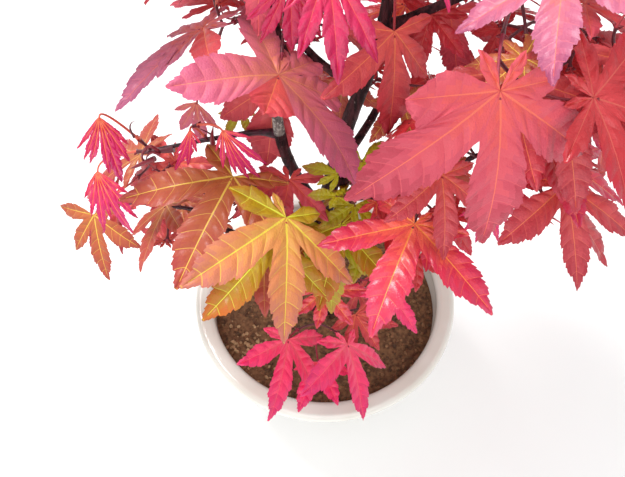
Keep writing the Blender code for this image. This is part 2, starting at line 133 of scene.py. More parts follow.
def grid_triangles(rows, columns, closed=False):
    """Two triangles to each cell of a grid of points, with the last column joined to the first if closed."""
    cells = columns if closed else columns - 1
    row, column = np.meshgrid(np.arange(rows - 1), np.arange(cells), indexing="ij")
    a = (row * columns + column).ravel()
    b = (row * columns + (column + 1) % columns).ravel()
    c, d = a + columns, b + columns
    return np.stack([np.stack([a, b, d], 1), np.stack([a, d, c], 1)], 1).reshape(-1, 3)


class Sheaf:
    """Gathers surfaces that will be one mesh: their points, triangles and material slots."""

    def __init__(self):
        self.points, self.triangles, self.slots, self.count = [], [], [], 0

    def add(self, points, triangles, slots):
        """Any surface; slots is one slot, or one for each triangle."""
        points = np.asarray(points, float).reshape(-1, 3)
        self.points.append(points)
        self.triangles.append(triangles + self.count)
        self.slots.append(np.broadcast_to(slots, len(triangles)))
        self.count += len(points)

    def grid(self, points, slots, closed=False):
        """A surface given as points of shape (rows, columns, 3)."""
        rows, columns = points.shape[:2]
        self.add(points, grid_triangles(rows, columns, closed), slots)


def welded(points, triangles, slots):
    """The same triangles with coinciding points made one, and without those that lost their area."""
    keys = np.round(points / WELD).astype(np.int64)
    _, first, index = np.unique(keys, axis=0, return_index=True, return_inverse=True)
    triangles = index.reshape(-1)[triangles]
    a, b, c = triangles.T
    keep = (a != b) & (b != c) & (a != c)
    return points[first], triangles[keep], slots[keep]


def make_piece(name, sheaf, materials, smooth_angle=60.0):
    """An object at the origin made of a sheaf, which rides on the plant's one body."""
    points, triangles, slots = welded(np.concatenate(sheaf.points), np.concatenate(sheaf.triangles),
                                      np.concatenate(sheaf.slots))
    mesh = bpy.data.meshes.new(name)
    mesh.vertices.add(len(points))
    mesh.vertices.foreach_set("co", (points * MM).astype(np.float32).ravel())
    mesh.loops.add(3 * len(triangles))
    mesh.loops.foreach_set("vertex_index", triangles.astype(np.int32).ravel())
    mesh.polygons.add(len(triangles))
    mesh.polygons.foreach_set("loop_start", np.arange(0, 3 * len(triangles), 3, dtype=np.int32))
    mesh.polygons.foreach_set("material_index", slots.astype(np.int32))
    for material in materials:
        mesh.materials.append(material)
    mesh.update(calc_edges=True)
    mesh.validate()
    mesh.shade_smooth()
    mesh.set_sharp_from_angle(angle=math.radians(smooth_angle))
    piece = bpy.data.objects.new(name, mesh)
    bpy.context.scene.collection.objects.link(piece)
    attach(piece, "root")
    print(f"{name}: {len(triangles)} triangles")
    return piece


# %% Paths and tubes
def unit(vectors):
    """Vectors divided by their lengths."""
    return vectors / np.linalg.norm(vectors, axis=-1, keepdims=True)


def heading(bearing):
    """The level unit vector along a bearing."""
    turn = math.radians(bearing)
    return np.array([math.sin(turn), -math.cos(turn), 0.0])


def smooth(knots, steps):
    """A Catmull-Rom path through the knots, with steps points to each stretch."""
    knots = np.asarray(knots, float)
    ends = np.vstack([2 * knots[0] - knots[1], knots, 2 * knots[-1] - knots[-2]])
    a, b, c, d = (ends[i:len(ends) - 3 + i, None] for i in range(4))
    t = (np.arange(steps) / steps)[None, :, None]
    path = 0.5 * (2 * b + (c - a) * t + (2 * a - 5 * b + 4 * c - d) * t * t
                  + (3 * b - a - 3 * c + d) * t ** 3)
    return np.vstack([path.reshape(-1, 3), knots[-1]])


def carried_frame(path):
    """Unit vectors across and above a path at each of its points, carried along without a twist."""
    ahead = unit(np.gradient(path, axis=0))
    guide = np.array([0.0, 0.0, 1.0]) if abs(ahead[0][2]) < 0.8 else np.array([0.0, 1.0, 0.0])
    across, above = np.empty_like(path), np.empty_like(path)
    for i, direction in enumerate(ahead):
        across[i] = unit(np.cross(direction, guide))
        above[i] = guide = np.cross(across[i], direction)
    return across, above


def tube_grid(path, radii, sides):
    """Rings round a path: centre + radius * (cos a * across + sin a * above). Radii may vary round a ring."""
    across, above = carried_frame(path)
    turn = 2 * math.pi * np.arange(sides) / sides
    radii = np.broadcast_to(np.reshape(radii, (len(path), -1)), (len(path), sides))[:, :, None]
    around = np.cos(turn)[None, :, None] * across[:, None] + np.sin(turn)[None, :, None] * above[:, None]
    return path[:, None] + radii * around


def capped(rings):
    """Rings with a point at each end that closes them, as a grid whose end rows are single points."""
    first, last = rings[0].mean(0), rings[-1].mean(0)
    shape = rings[0].shape
    return np.concatenate([np.broadcast_to(first, shape)[None], rings, np.broadcast_to(last, shape)[None]])


# %% [markdown]
# ## The limbs
# A trained maple keeps one leaning trunk and a few boughs that leave it low and turn up to the light.
# The trunk is a smooth path through a few knots with a steady taper and a flared root. A bough leaves its
# parent's axis, runs out along its bearing and curls upright. They stand exactly where the solids have them.

# %% Limb axes
SOIL_TOP = 68.0
GAP = 0.3
TRUNK_KNOTS = ((SOIL_TOP + GAP, 0.0), (105.0, -2.0), (140.0, -2.5), (170.0, -1.0), (200.0, 3.0),
               (230.0, 7.5), (260.0, 14.0), (286.0, 18.0), (308.0, 19.0))
TRUNK_RADIUS, TRUNK_TIP = 5.4, 2.0
FLARE, FLARE_HEIGHT = 3.6, 7.0
BOUGH_STEPS = 9

# A bough leaves its parent's axis at a height, goes out along a bearing by reach and up by rise, and
# curl above 1 turns it upright at its end; sway bends it sideways; base and tip are radii.
Bough = namedtuple("Bough", "name parent height bearing reach rise curl sway base tip")
BOUGHS = (
    Bough("limb_left", "trunk", 164, 270, 20, 73, 2.0, 0, 3.0, 2.2),
    Bough("side_branch", "limb_left", 223, 266, 18, -2, 1.0, -1, 1.5, 1.2),
    Bough("low_shoot", "trunk", 86, 354, 27, 28, 1.5, 2, 1.6, 1.1),
    Bough("front_twig", "trunk", 172, 20, 10, 12, 1.3, 0, 1.3, 1.0),
    Bough("bough_front_left", "trunk", 152, 320, 24, 34, 1.6, -2, 2.0, 1.3),
    Bough("bough_low_left", "trunk", 136, 281, 54, 40, 1.4, 4, 2.0, 1.3),
    Bough("bough_right", "trunk", 190, 58, 40, 42, 1.5, 3, 2.0, 1.3),
    Bough("bough_low_right", "trunk", 176, 86, 58, 32, 1.4, -4, 2.1, 1.3),
    Bough("bough_top_right", "trunk", 280, 84, 34, 24, 1.5, 3, 1.9, 1.2),
    Bough("bough_top_left", "trunk", 250, 250, 28, 26, 1.5, 3, 1.9, 1.2),
    Bough("bough_back_left", "trunk", 222, 218, 46, 36, 1.5, 4, 2.1, 1.3),
    Bough("bough_back_right", "trunk", 196, 148, 50, 36, 1.5, -4, 2.1, 1.3),
)


def trunk_axis():
    """The trunk's path and its radius at each point; the first step is upright."""
    path = smooth([(lean, 0.0, height) for height, lean in TRUNK_KNOTS], 3)
    path[1, 0] = path[0, 0]
    share = (path[:, 2] - path[0, 2]) / (path[-1, 2] - path[0, 2])
    radii = TRUNK_RADIUS + (TRUNK_TIP - TRUNK_RADIUS) * share
    return path, radii + FLARE * np.exp(-(path[:, 2] - path[0, 2]) / FLARE_HEIGHT)


def bough_axis(bough, parent_path):
    """start + heading * reach * (1 - (1 - t) ** curl) + sideways * sway * sin(pi t) + up * rise * t."""
    start = np.array([np.interp(bough.height, parent_path[:, 2], parent_path[:, i]) for i in range(3)])
    t = np.linspace(0.0, 1.0, BOUGH_STEPS)[:, None]
    outward = heading(bough.bearing) * bough.reach * (1 - (1 - t) ** bough.curl)
    sideways = heading(bough.bearing + 90) * bough.sway * np.sin(math.pi * t)
    path = start + outward + sideways + np.array([0.0, 0.0, bough.rise]) * t
    return path, bough.base + (bough.tip - bough.base) * t[:, 0]


LIMBS = {"trunk": trunk_axis()}
for bough in BOUGHS:
    LIMBS[bough.name] = bough_axis(bough, LIMBS[bough.parent][0])
print("limbs:", ", ".join(LIMBS))

# %% [markdown]
# ## The rule of growth
# Each mass of leaves grows from one stem, just past the tip of its bough. A few leaves have a set place,
# and the others try seeded places in the mass and are skipped where they would touch a limb, a blade or
# a twig of another mass. A leaf's twig leaves the nearest node of its mass, and its petiole bends over to
# the joint of the blade. Collisions are tested on plain fans that stand for the blades.

# %% Masses of leaves
# name, limb that carries it, end of its stem, middle and half size of its space, leaves grown in it by the
# rule, small inner ones, tints dealt out to both, and its slot in the record
Mass = namedtuple("Mass", "name limb stem middle half fill inner tints slot")
MASSES = (
    Mass("low_shoot_leaves", "low_shoot", (-4, -41, 126), (30, -36, 112), (22, 20, 10), 0, 2,
         ("coral", "russet"), "leaves_rose"),
    Mass("centre_green_leaves", "front_twig", (10, -16, 196), (8, -20, 190), (14, 8, 14), 2, 5,
         ("olive", "lime"), "leaves_olive"),
    Mass("front_left_leaves", "bough_front_left", (-25, -27, 195), (-44, -34, 196), (30, 20, 10), 0, 3,
         ("umber", "russet"), "leaves_orange"),
    Mass("side_tip_leaves", "side_branch", (-76, 0, 212), (-112, 8, 206), (10, 14, 14), 0, 0,
         (), "leaves_rose"),
    Mass("low_left_leaves", "bough_low_left", (-72, -10, 184), (-84, 10, 172), (30, 30, 12), 3, 6,
         ("russet", "coral"), "leaves_russet"),
    Mass("right_front_leaves", "bough_right", (44, -22, 232), (60, -36, 214), (22, 20, 14), 3, 6,
         ("crimson", "scarlet"), "leaves_scarlet"),
    Mass("low_right_leaves", "bough_low_right", (74, -4, 218), (90, 0, 226), (34, 44, 26), 9, 9,
         ("crimson", "coral", "scarlet"), "leaves_crimson"),
    Mass("top_right_leaves", "bough_top_right", (58, -10, 306), (76, -20, 296), (34, 40, 26), 9, 9,
         ("dusty", "coral", "crimson"), "leaves_dusty_rose"),
    Mass("upper_left_leaves", "bough_top_left", (-28, 6, 284), (-42, 26, 296), (46, 40, 24), 8, 9,
         ("dusty", "coral", "umber"), "leaves_dusty_rose"),
    Mass("crown_leaves", "trunk", (18, 12, 330), (16, 20, 328), (50, 48, 17), 13, 9,
         ("rose", "dusty", "coral"), "leaves_rose"),
    Mass("back_left_leaves", "bough_back_left", (-30, 44, 262), (-28, 62, 264), (48, 38, 32), 13, 12,
         ("umber", "coral", "dusty"), "leaves_orange"),
    Mass("back_right_leaves", "bough_back_right", (38, 50, 240), (48, 66, 246), (48, 40, 36), 14, 12,
         ("crimson", "coral", "scarlet"), "leaves_crimson"),
)
DEALT_TINTS = {mass.name: mass.tints for mass in MASSES}
print("masses:", len(MASSES), "seeded leaves:", sum(mass.fill + mass.inner for mass in MASSES))

# %% Leaves with a set place
# joint of blade and petiole, bearing, dip and roll of the blade, length from the joint to the middle tip,
# length of the petiole, and kind
Leaf = namedtuple("Leaf", "mass at bearing dip roll span petiole kind")
# A lobe: direction from the middle one, length against the span, how wide it is drawn, its own distance
# of the sinus after it and its own tint
Lobe = namedtuple("Lobe", "turn size width sinus tint", defaults=(1.0, None, None))
# leaves of each mass: what a Leaf holds after its mass, the tint, and the lobes where they are its own
SET_LEAVES = {
    "front_left_leaves": (
        (((-17, -48, 233), 1, 26, 30, 48, 18, "broad"), "amber",
         ((-150, 0.22), (-114, 0.51, 1.2, None, "lime"), (-56, 0.97), (3, 0.98), (53, 0.84),
          (99, 0.32, 1.5, None, "lime"))),
        (((-40, -16, 215), 336, 5, 2, 52, 18, "broad"), "umber",
         ((-121, 0.4, 1.3), (-57, 0.94, 1.1), (0, 1.0, 1.05), (58, 0.8), (108, 0.45))),
        (((-23, -39, 200), 8, 22, 10, 42, 12, "broad"), "lime",
         ((-100, 0.45), (-49, 1.02, 1.15), (8, 0.84), (39, 0.75), (98, 0.51))),
        (((-17, -11, 206), 350, 10, 0, 28, 7, "broad"), "dusty", ()),
    ),
    "right_front_leaves": (
        (((31, -49, 230), 339, 2, -2, 45, 18, "broad"), "scarlet",
         ((-150, 0.22), (-114, 0.44, 1.3), (-57, 0.83), (-2, 1.0, 0.95), (58, 0.96), (97, 0.45, 1.3),
          (145, 0.2))),
        (((39, -41, 250), 5, 25, 20, 29, 12, "broad"), "coral", ()),
        (((62, -34, 226), 350, 60, 0, 24, 10, "young"), "pink", ()),
        (((37, -43, 196), 40, 30, 0, 24, 14, "broad"), "crimson",
         ((-95, 0.4), (-39, 0.63), (22, 0.55), (80, 0.4))),
    ),
    "low_shoot_leaves": (
        (((-19, -50, 127), 352, 13, 45, 37, 10, "broad"), "rose",
         ((-130, 0.25), (-97, 0.42), (-55, 0.83), (1, 1.07), (55, 0.94), (107, 0.71))),
        (((10, -52, 126), 16, 16, 36, 35, 10, "broad"), "rose",
         ((-140, 0.25), (-102, 0.52), (-60, 1.08), (3, 1.06), (60, 0.85), (131, 0.3))),
        (((-4, -51, 101), 22, 0, 0, 27, 8, "broad"), "rose", ((-95, 0.5), (-44, 1.02), (2, 0.9), (50, 0.7))),
        (((-1, -34, 148), 10, 20, 0, 30, 12, "broad"), "scarlet",
         ((-105, 1.0), (-60, 0.6), (-22, 0.62), (30, 0.7), (82, 0.73))),
        (((15, -31, 116), 50, 10, 0, 28, 12, "broad"), "coral",
         ((-105, 0.57), (-60, 0.8), (-15, 0.78), (30, 0.84), (80, 0.5))),
        (((28, -27, 140), 40, 30, 0, 30, 14, "broad"), "rose",
         ((-105, 0.5), (-50, 0.76), (4, 1.02, 0.8), (56, 0.6))),
    ),
    "centre_green_leaves": (
        (((4, -15, 215), 290, 10, 0, 17, 10, "broad"), "olive",
         ((-134, 0.5), (-95, 0.5), (-46, 1.06, 1.3), (0, 0.6), (42, 0.52))),
        (((13, -13, 222), 340, 0, 0, 21, 8, "broad"), "olive",
         ((-121, 0.7, 1.3), (-60, 0.6), (10, 0.4), (80, 0.5), (150, 0.85, 1.4))),
        (((3, -24, 212), 270, 0, 0, 13, 8, "broad"), "olive",
         ((-128, 0.42, 1.5), (-8, 0.95, 1.5), (60, 0.5, 1.4), (142, 0.5, 1.4))),
        (((11, -20, 200), 10, 15, 0, 19, 8, "broad"), "olive",
         ((-99, 0.56), (-67, 0.98, 1.2), (-10, 0.5), (33, 0.77, 1.2), (90, 0.6))),
        (((17, -20, 172), 340, 10, 0, 22, 14, "broad"), "olive", ((-40, 0.7), (4, 0.97, 1.2), (43, 0.6))),
    ),
    "side_tip_leaves": (
        (((-90, -8, 243), 20, 72, 10, 34, 14, "young"), "pink",
         ((-48, 0.47), (-31, 0.61), (-20, 0.74), (-6, 0.83), (3, 1.16), (14, 0.8), (25, 0.56))),
        (((-102, -2, 200), 22, 45, -20, 33, 14, "young"), "pink",
         ((-46, 0.46), (-30, 0.67), (-18, 0.92), (-7, 0.7), (3, 1.06), (18, 0.83), (35, 0.5))),
        (((-55, -11, 239), 4, 72, 20, 19, 8, "young"), "pink",
         ((-30, 0.7), (-18, 1.2), (-5, 1.04), (9, 0.67), (25, 0.5))),
        (((-42, -12, 240), 32, 52, -30, 25, 8, "young"), "pink",
         ((-40, 0.4), (-23, 0.68), (-8, 0.8), (1, 0.99), (10, 1.07), (25, 0.91), (53, 0.47))),
    ),
    "low_left_leaves": (
        (((-112, -2, 165), 7, 38, -30, 34, 14, "broad"), "umber",
         ((-103, 0.71), (-45, 0.71), (0, 0.97), (53, 0.84), (104, 0.5))),
        (((-71, -16, 194), 337, 8, -35, 33, 12, "broad"), "russet",
         ((-100, 0.5), (-50, 0.7), (0, 0.95), (56, 0.72), (104, 0.4))),
    ),
    "low_right_leaves": (
        (((89, -34, 234), 6, 15, 14, 40, 18, "broad"), "coral",
         ((-104, 0.5), (-55, 0.93, 1.1), (0, 1.0), (55, 0.9), (107, 0.55))),
    ),
    "top_right_leaves": (
        (((43, -62, 316), 4, 56, 20, 51, 24, "broad"), "dusty",
         ((-150, 0.26), (-92, 0.55, 1.6, 0.42), (-58, 0.98, 1.1, 0.28), (6, 1.0, 1.1, 0.28), (56, 0.9, 1.1),
          (92, 0.4, 1.4), (140, 0.25))),
        (((62, -30, 330), 345, 5, -20, 38, 20, "broad"), "mauve", ()),
        (((58, -32, 298), 330, 0, -10, 30, 14, "broad"), "umber",
         ((-179, 0.52), (-125, 0.38), (-63, 0.6, 1.2), (-20, 0.6), (23, 0.57), (76, 0.35))),
    ),
    "upper_left_leaves": (
        (((-19, -14, 272), 355, -5, 30, 45, 12, "broad"), "blush",
         ((-150, 0.75, 1.5), (-57, 0.94, 1.3, 0.4), (-6, 0.44, 1.6, 0.4, "coral"), (61, 1.05, 1.3, 0.45),
          (100, 0.6, 1.6), (143, 0.6, 1.6), (179, 0.37, 1.5))),
        (((-48, 14, 268), 306, 8, -28, 42, 18, "broad"), "mauve",
         ((-146, 0.44), (-60, 0.5), (-9, 0.85, 0.8), (6, 1.08, 0.9), (21, 0.67),
          (71, 0.72, 1.3, None, "coral"), (120, 0.3), (167, 0.47))),
    ),
    "crown_leaves": (
        (((19, -19, 297), 357, 60, 38, 43, 14, "broad"), "coral",
         ((-100, 0.5), (-53, 0.74, 1.2), (8, 0.89, 1.2), (46, 0.61), (100, 0.4))),
        (((-14, -20, 318), 32, 75, -15, 30, 14, "young"), "magenta",
         ((-55, 0.6, 1.5), (-30, 0.78, 1.7), (-4, 0.9, 1.9), (18, 0.85, 1.7), (40, 0.79, 1.5))),
        (((-3, -26, 328), 9, 30, 5, 36, 16, "young"), "magenta",
         ((-50, 0.5, 1.5), (-24, 0.74, 1.8), (0, 0.9, 1.9), (24, 0.84, 1.8), (50, 0.5, 1.5))),
    ),
    "back_right_leaves": (
        (((44, 18, 272), 0, 5, 0, 32, 16, "broad"), "dusty", ()),
    ),
}

# %% Spaces that stay open through the crown
# the ends of each one's middle line, and its radius
Window = namedtuple("Window", "high low radius")
WINDOWS = (
    Window((-51, -66, 330), (-97, 74, 190), 26),
    Window((-67, -89, 230), (-107, -13, 70), 30),
    Window((70, -87, 230), (123, -10, 70), 31),
    Window((23, -57, 330), (70, 165, 120), 6),
    Window((-1, -84, 330), (8, 97, 120), 6),
    Window((7, -84, 330), (29, 97, 120), 7),
)

# %% Plain blades that collisions are tested on
LOBES = {
    "broad": ((0, 1.0), (54, 0.90), (107, 0.56), (150, 0.26)),
    "young": ((0, 1.0), (19, 0.88), (39, 0.66), (62, 0.40)),
}
LOBE_HALF_WIDTH = {"broad": 0.17, "young": 0.085}
SHOULDER = 0.55
SINUS = {"broad": 0.36, "young": 0.30}
SINUS_EXTRA = 0.04
DROOP = {"broad": 0.15, "young": 0.25}
BLADE_THICKNESS = 1.4
THICKEST = 0.12
SUNK = 0.05
CLEARANCE = 0.8
STEM_TIP = 0.95
STALK_RADII = np.array([0.80, 0.70, 0.60, 0.52])


def blade_frame(bearing, dip, roll):
    """Unit vectors of a blade: along its middle lobe, across it to the right, and up out of it."""
    dip, roll = math.radians(dip), math.radians(roll)
    ahead = heading(bearing)
    level = np.array([0.0, 0.0, 1.0])
    along = ahead * math.cos(dip) - level * math.sin(dip)
    up = ahead * math.sin(dip) + level * math.cos(dip)
    right = np.cross(up, along)
    up = up * math.cos(roll) + right * math.sin(roll)
    return along, np.cross(up, along), up


def all_lobes(kind):
    """Direction and length of every lobe, from the last on the left to the last on the right."""
    half = LOBES[kind]
    return [(-turn, size) for turn, size in half[:0:-1]] + list(half)


def plain_outline(kind):
    """Distance and direction of the points round a plain blade of length 1."""
    lobes = all_lobes(kind)
    widen = math.atan2(LOBE_HALF_WIDTH[kind], SHOULDER)
    reach = math.hypot(LOBE_HALF_WIDTH[kind], SHOULDER)
    ring = []
    for (turn, size), after in zip(lobes, lobes[1:] + [None]):
        turn = math.radians(turn)
        if size > 0.3:
            ring += [(reach * size, turn - widen), (size, turn), (reach * size, turn + widen)]
        else:
            ring.append((size, turn))
        if after:
            between = (turn + math.radians(after[0])) / 2
            ring.append((SINUS[kind] * min(size, after[1]) + SINUS_EXTRA, between))
    return np.array(ring + [(0.06, math.pi)])


def plain_blade(leaf, grow=0.0):
    """Joint + (distance * span + grow) * direction - up * droop * span * distance squared, as a fan."""
    along, right, up = blade_frame(leaf.bearing, leaf.dip, leaf.roll)
    distance, turn = plain_outline(leaf.kind).T[:, :, None]
    centre = np.array(leaf.at, float)
    rim = centre + (distance * leaf.span + grow) * (np.cos(turn) * along + np.sin(turn) * right)
    rim = rim - up * DROOP[leaf.kind] * leaf.span * distance ** 2
    thickest = centre + along * leaf.span * THICKEST
    half = up * (BLADE_THICKNESS / 2 + grow)
    k = np.arange(len(rim))
    after = (k + 1) % len(rim)
    over = np.stack([k, after, np.full_like(k, len(rim))], 1)
    under = np.stack([after, k, np.full_like(k, len(rim) + 1)], 1)
    return np.vstack([rim, thickest + half, thickest - half]), np.vstack([over, under])


def closed_tube(path, radii, sides):
    """A tube with flat ends, as points and a list of faces."""
    points = tube_grid(path, radii, sides).reshape(-1, 3)
    ring, k = np.meshgrid(np.arange(len(path) - 1), np.arange(sides), indexing="ij")
    a = (ring * sides + k).ravel()
    b = (ring * sides + (k + 1) % sides).ravel()
    walls = np.stack([a, a + sides, b + sides, b], 1).tolist()
    last = list(range(len(points) - sides, len(points)))
    return points, walls + [list(range(sides)), last[::-1]]


def tree_of(shape):
    """A search tree of a shape's faces, which tells whether it cuts another one."""
    points, faces = shape
    return BVHTree.FromPolygons(np.asarray(points).tolist(), [list(face) for face in faces])


def enters(points, window):
    """Whether any point is nearer to a window's middle line than its radius."""
    high = np.array(window.high, float)
    line = np.array(window.low, float) - high
    share = np.clip((points - high) @ line / (line @ line), 0.0, 1.0)[:, None]
    return (np.linalg.norm(points - high - share * line, axis=1) < window.radius).any()


# %% Growth
CROWN_MIDDLE = np.array([10.0, 5.0, 0.0])  # what the seeded leaves look away from
TRIES = 400
SEED = 11
# a leaf with the root, elbow and end of its stalk, the name of its tint and the lobes of its own
Grown = namedtuple("Grown", "leaf stalk tint lobes")


class Growth:
    """The leaves and twigs grown so far, and what they must keep clear of."""

    def __init__(self, limbs):
        self.limbs = [tree_of(closed_tube(path, radii + CLEARANCE, 8)) for path, radii in limbs.values()]
        self.blades = []  # joint, reach and tree of each blade
        self.twigs = []  # mass name and tree of each stem and twig
        self.nodes = {}  # mass name: points that a twig may leave from
        self.stems = {}  # mass name: path and radii of the stem
        self.leaves = []  # what has grown, in order

    def start(self, mass, path, radii):
        """The stem of a mass, from just past the tip of its bough to the middle of the mass."""
        ahead = unit(path[-1] - path[-2])
        first = path[-1] + ahead * GAP
        goal = np.array(mass.stem, float)
        bend = first + ahead * np.linalg.norm(goal - first) * 0.35
        t = np.linspace(0.0, 1.0, 6)[:, None]
        stem = (1 - t) ** 2 * first + 2 * t * (1 - t) * bend + t * t * goal
        taper = np.linspace(radii[-1], STEM_TIP, 6)
        self.nodes[mass.name] = list(stem[2:])
        self.stems[mass.name] = (first, bend, goal, radii[-1])
        self.twigs.append((mass.name, tree_of(closed_tube(stem, taper, 5))))

    def stalk(self, leaf):
        """Root, elbow and end of a leaf's twig and petiole, which bends over from the nearest node."""
        at = np.array(leaf.at, float)
        along, _, _ = blade_frame(leaf.bearing, leaf.dip, leaf.roll)
        dip = math.radians(leaf.dip)
        behind = (0.35 + 0.45 * math.cos(dip)) * heading(leaf.bearing)
        below = np.array([0.0, 0.0, 0.45 - 0.75 * math.sin(dip)])
        elbow = at - leaf.petiole * (behind + below)
        nodes = np.array(self.nodes[leaf.mass])
        root = nodes[int(np.argmin(np.linalg.norm(nodes - elbow, axis=1)))]
        return root, elbow, at + along * leaf.span * SUNK

    def clear(self, leaf):
        """Whether a leaf and its twig keep clear of windows, limbs, other masses and other blades."""
        if any(enters(plain_blade(leaf)[0], window) for window in WINDOWS):
            return False
        grown = tree_of(plain_blade(leaf, CLEARANCE))
        at = np.array(leaf.at, float)
        for joint, reach, other in self.blades:
            if np.linalg.norm(at - joint) < leaf.span + reach and grown.overlap(other):
                return False
        if any(grown.overlap(thing) for thing in self.limbs + [twig for _, twig in self.twigs]):
            return False
        stalk = tree_of(closed_tube(bend_over(self.stalk(leaf), 4), STALK_RADII + CLEARANCE, 4))
        if any(stalk.overlap(other) for _, _, other in self.blades):
            return False
        if any(name != leaf.mass and stalk.overlap(twig) for name, twig in self.twigs):
            return False
        return not any(stalk.overlap(limb) for limb in self.limbs)

    def add(self, leaf, tint=None, lobes=()):
        """Keeps a leaf. One that has no tint of its own is dealt one of its mass's by chance."""
        if tint is None:
            dealt = DEALT_TINTS[leaf.mass]
            tint = dealt[np.random.default_rng([SEED, len(self.leaves)]).integers(len(dealt))]
        stalk = self.stalk(leaf)
        path = bend_over(stalk, 4)
        self.blades.append((np.array(leaf.at, float), leaf.span, tree_of(plain_blade(leaf))))
        self.twigs.append((leaf.mass, tree_of(closed_tube(path, STALK_RADII, 3))))
        self.nodes[leaf.mass] += list(path[1:3])
        self.leaves.append(Grown(leaf, stalk, tint, lobes))


def bend_over(stalk, count):
    """(1 - t)^2 root + 2 t (1 - t) elbow + t^2 end, at count even steps of t."""
    root, elbow, end = stalk
    t = np.linspace(0.0, 1.0, count)[:, None]
    return (1 - t) ** 2 * root + 2 * t * (1 - t) * elbow + t * t * end


def seeded_leaf(mass, chance):
    """A leaf somewhere in the mass, which looks away from the trunk and hangs outward."""
    spot = chance.normal(size=3)
    spot *= chance.uniform(0.35, 1.0) / np.linalg.norm(spot)
    at = np.array(mass.middle) + spot * np.array(mass.half)
    away = at - CROWN_MIDDLE
    bearing = math.degrees(math.atan2(away[0], -away[1])) + chance.normal(0, 38)
    return Leaf(mass.name, tuple(at), bearing, chance.uniform(4, 46), chance.normal(0, 14),
                chance.uniform(33, 46), chance.uniform(16, 26), "broad")


def grow_all(limbs):
    """The stems, then the leaves with a set place, then seeded leaves in turn for every mass."""
    growth = Growth(limbs)
    for mass in MASSES:
        growth.start(mass, *limbs[mass.limb])
    for name, leaves in SET_LEAVES.items():
        for place, tint, lobes in leaves:
            growth.add(Leaf(name, *place), tint, lobes)
    chance = np.random.default_rng(SEED)
    wanted = {mass.name: mass.fill for mass in MASSES}
    for _ in range(TRIES):
        for mass in MASSES:
            if wanted[mass.name] <= 0:
                continue
            leaf = seeded_leaf(mass, chance)
            if growth.clear(leaf):
                growth.add(leaf)
                wanted[mass.name] -= 1
    return growth


growth = grow_all(LIMBS)
print("leaves grown:", len(growth.leaves))

# %% [markdown]
# ## Inner leaves
# Behind the large leaves of a maple hang small ones on finer twigs, which fill the crown with colour. They
# could be scattered at random, but then they would cut the large ones, so the same rule of growth places
# them: nearer to the trunk, half as long, and only where they clear all that has grown before.

# %% Finer twigs with small leaves
# leaf, its tint and its own lobes
INNER_LEAVES = (
    (Leaf("back_left_leaves", (-22, 14, 239), 350, 55, 0, 38, 12, "broad"), "coral",
     ((-100, 0.4), (-50, 0.8, 1.3), (-4, 1.0, 1.8), (45, 0.5), (95, 0.4))),
    (Leaf("upper_left_leaves", (-56, 14, 227), 345, 68, 10, 23, 12, "young"), "blush",
     ((-60, 0.5, 2.0), (-25, 0.8, 2.4), (5, 1.0, 2.6), (35, 0.7, 2.0))),
    (Leaf("upper_left_leaves", (-38, 18, 217), 320, 20, 0, 13, 10, "broad"), "olive", ()),
    (Leaf("back_right_leaves", (5, 12, 244), 350, 50, 0, 22, 10, "broad"), "russet", ()),
    (Leaf("right_front_leaves", (25, -17, 262), 20, 30, 0, 20, 10, "broad"), "umber", ()),
    (Leaf("right_front_leaves", (42, -28, 236), 10, 30, 0, 21, 10, "broad"), "russet", ()),
    (Leaf("low_right_leaves", (74, -31, 262), 20, 30, 0, 26, 10, "broad"), "crimson", ()),
    (Leaf("top_right_leaves", (34, 2, 285), 340, 20, 0, 22, 10, "broad"), "crimson", ()),
)
INNER_PULL = 0.3  # how far the small leaves draw in towards the trunk's axis
INNER_TRIES = 60
INNER_WINDOWS = (
    Window((-50, -85, 320), (-115, 89, 100), 14),
    Window((-32, -85, 320), (-70, 89, 100), 8),
    Window((13, -137, 320), (43, -41, 100), 9),
    Window((-6, -91, 320), (-4, 75, 100), 6),
)


def inner_leaf(mass, chance):
    """A leaf half as large as the others, nearer to the trunk and lower in its mass."""
    spot = np.clip(chance.normal(size=3) * 0.55, -1.0, 1.0)
    middle = np.array(mass.middle, float) * (1 - INNER_PULL, 1 - INNER_PULL, 1.0) - (0.0, 0.0, 8.0)
    at = middle + spot * np.array(mass.half)
    away = at - CROWN_MIDDLE
    bearing = math.degrees(math.atan2(away[0], -away[1])) + chance.normal(0, 50)
    return Leaf(mass.name, tuple(at), bearing, chance.uniform(0, 40), chance.normal(0, 16),
                chance.uniform(17, 28), chance.uniform(9, 15), "broad")


chance = np.random.default_rng([SEED, 1])
for leaf, tint, lobes in INNER_LEAVES:
    growth.add(leaf, tint, lobes)
FULL_COUNT = len(growth.leaves)  # the small leaves after these have fewer side veins
for mass in MASSES:
    wanted = mass.inner
    for _ in range(INNER_TRIES):
        leaf = inner_leaf(mass, chance)
        seen_through = any(enters(plain_blade(leaf)[0], window) for window in INNER_WINDOWS)
        if wanted > 0 and not seen_through and growth.clear(leaf):
            growth.add(leaf)
            wanted -= 1
print("with small inner leaves:", len(growth.leaves))

# %% [markdown]
# ## Autumn tints
# Each leaf turns in its own time, from olive over orange and scarlet to a dusty rose, and keeps its veins
# yellow the longest. The colours have a place on the leaf, so they are dealt out to the faces as plain
# materials: six steps from the veins at the joint to the margin at the tips, and two for the veins.
# Relief and gloss come from one node group that all the leaves share.

# %% Colours
ZONES = 6
VEIN, SIDE_VEIN = ZONES, ZONES + 1
TINT_SLOTS = ZONES + 2

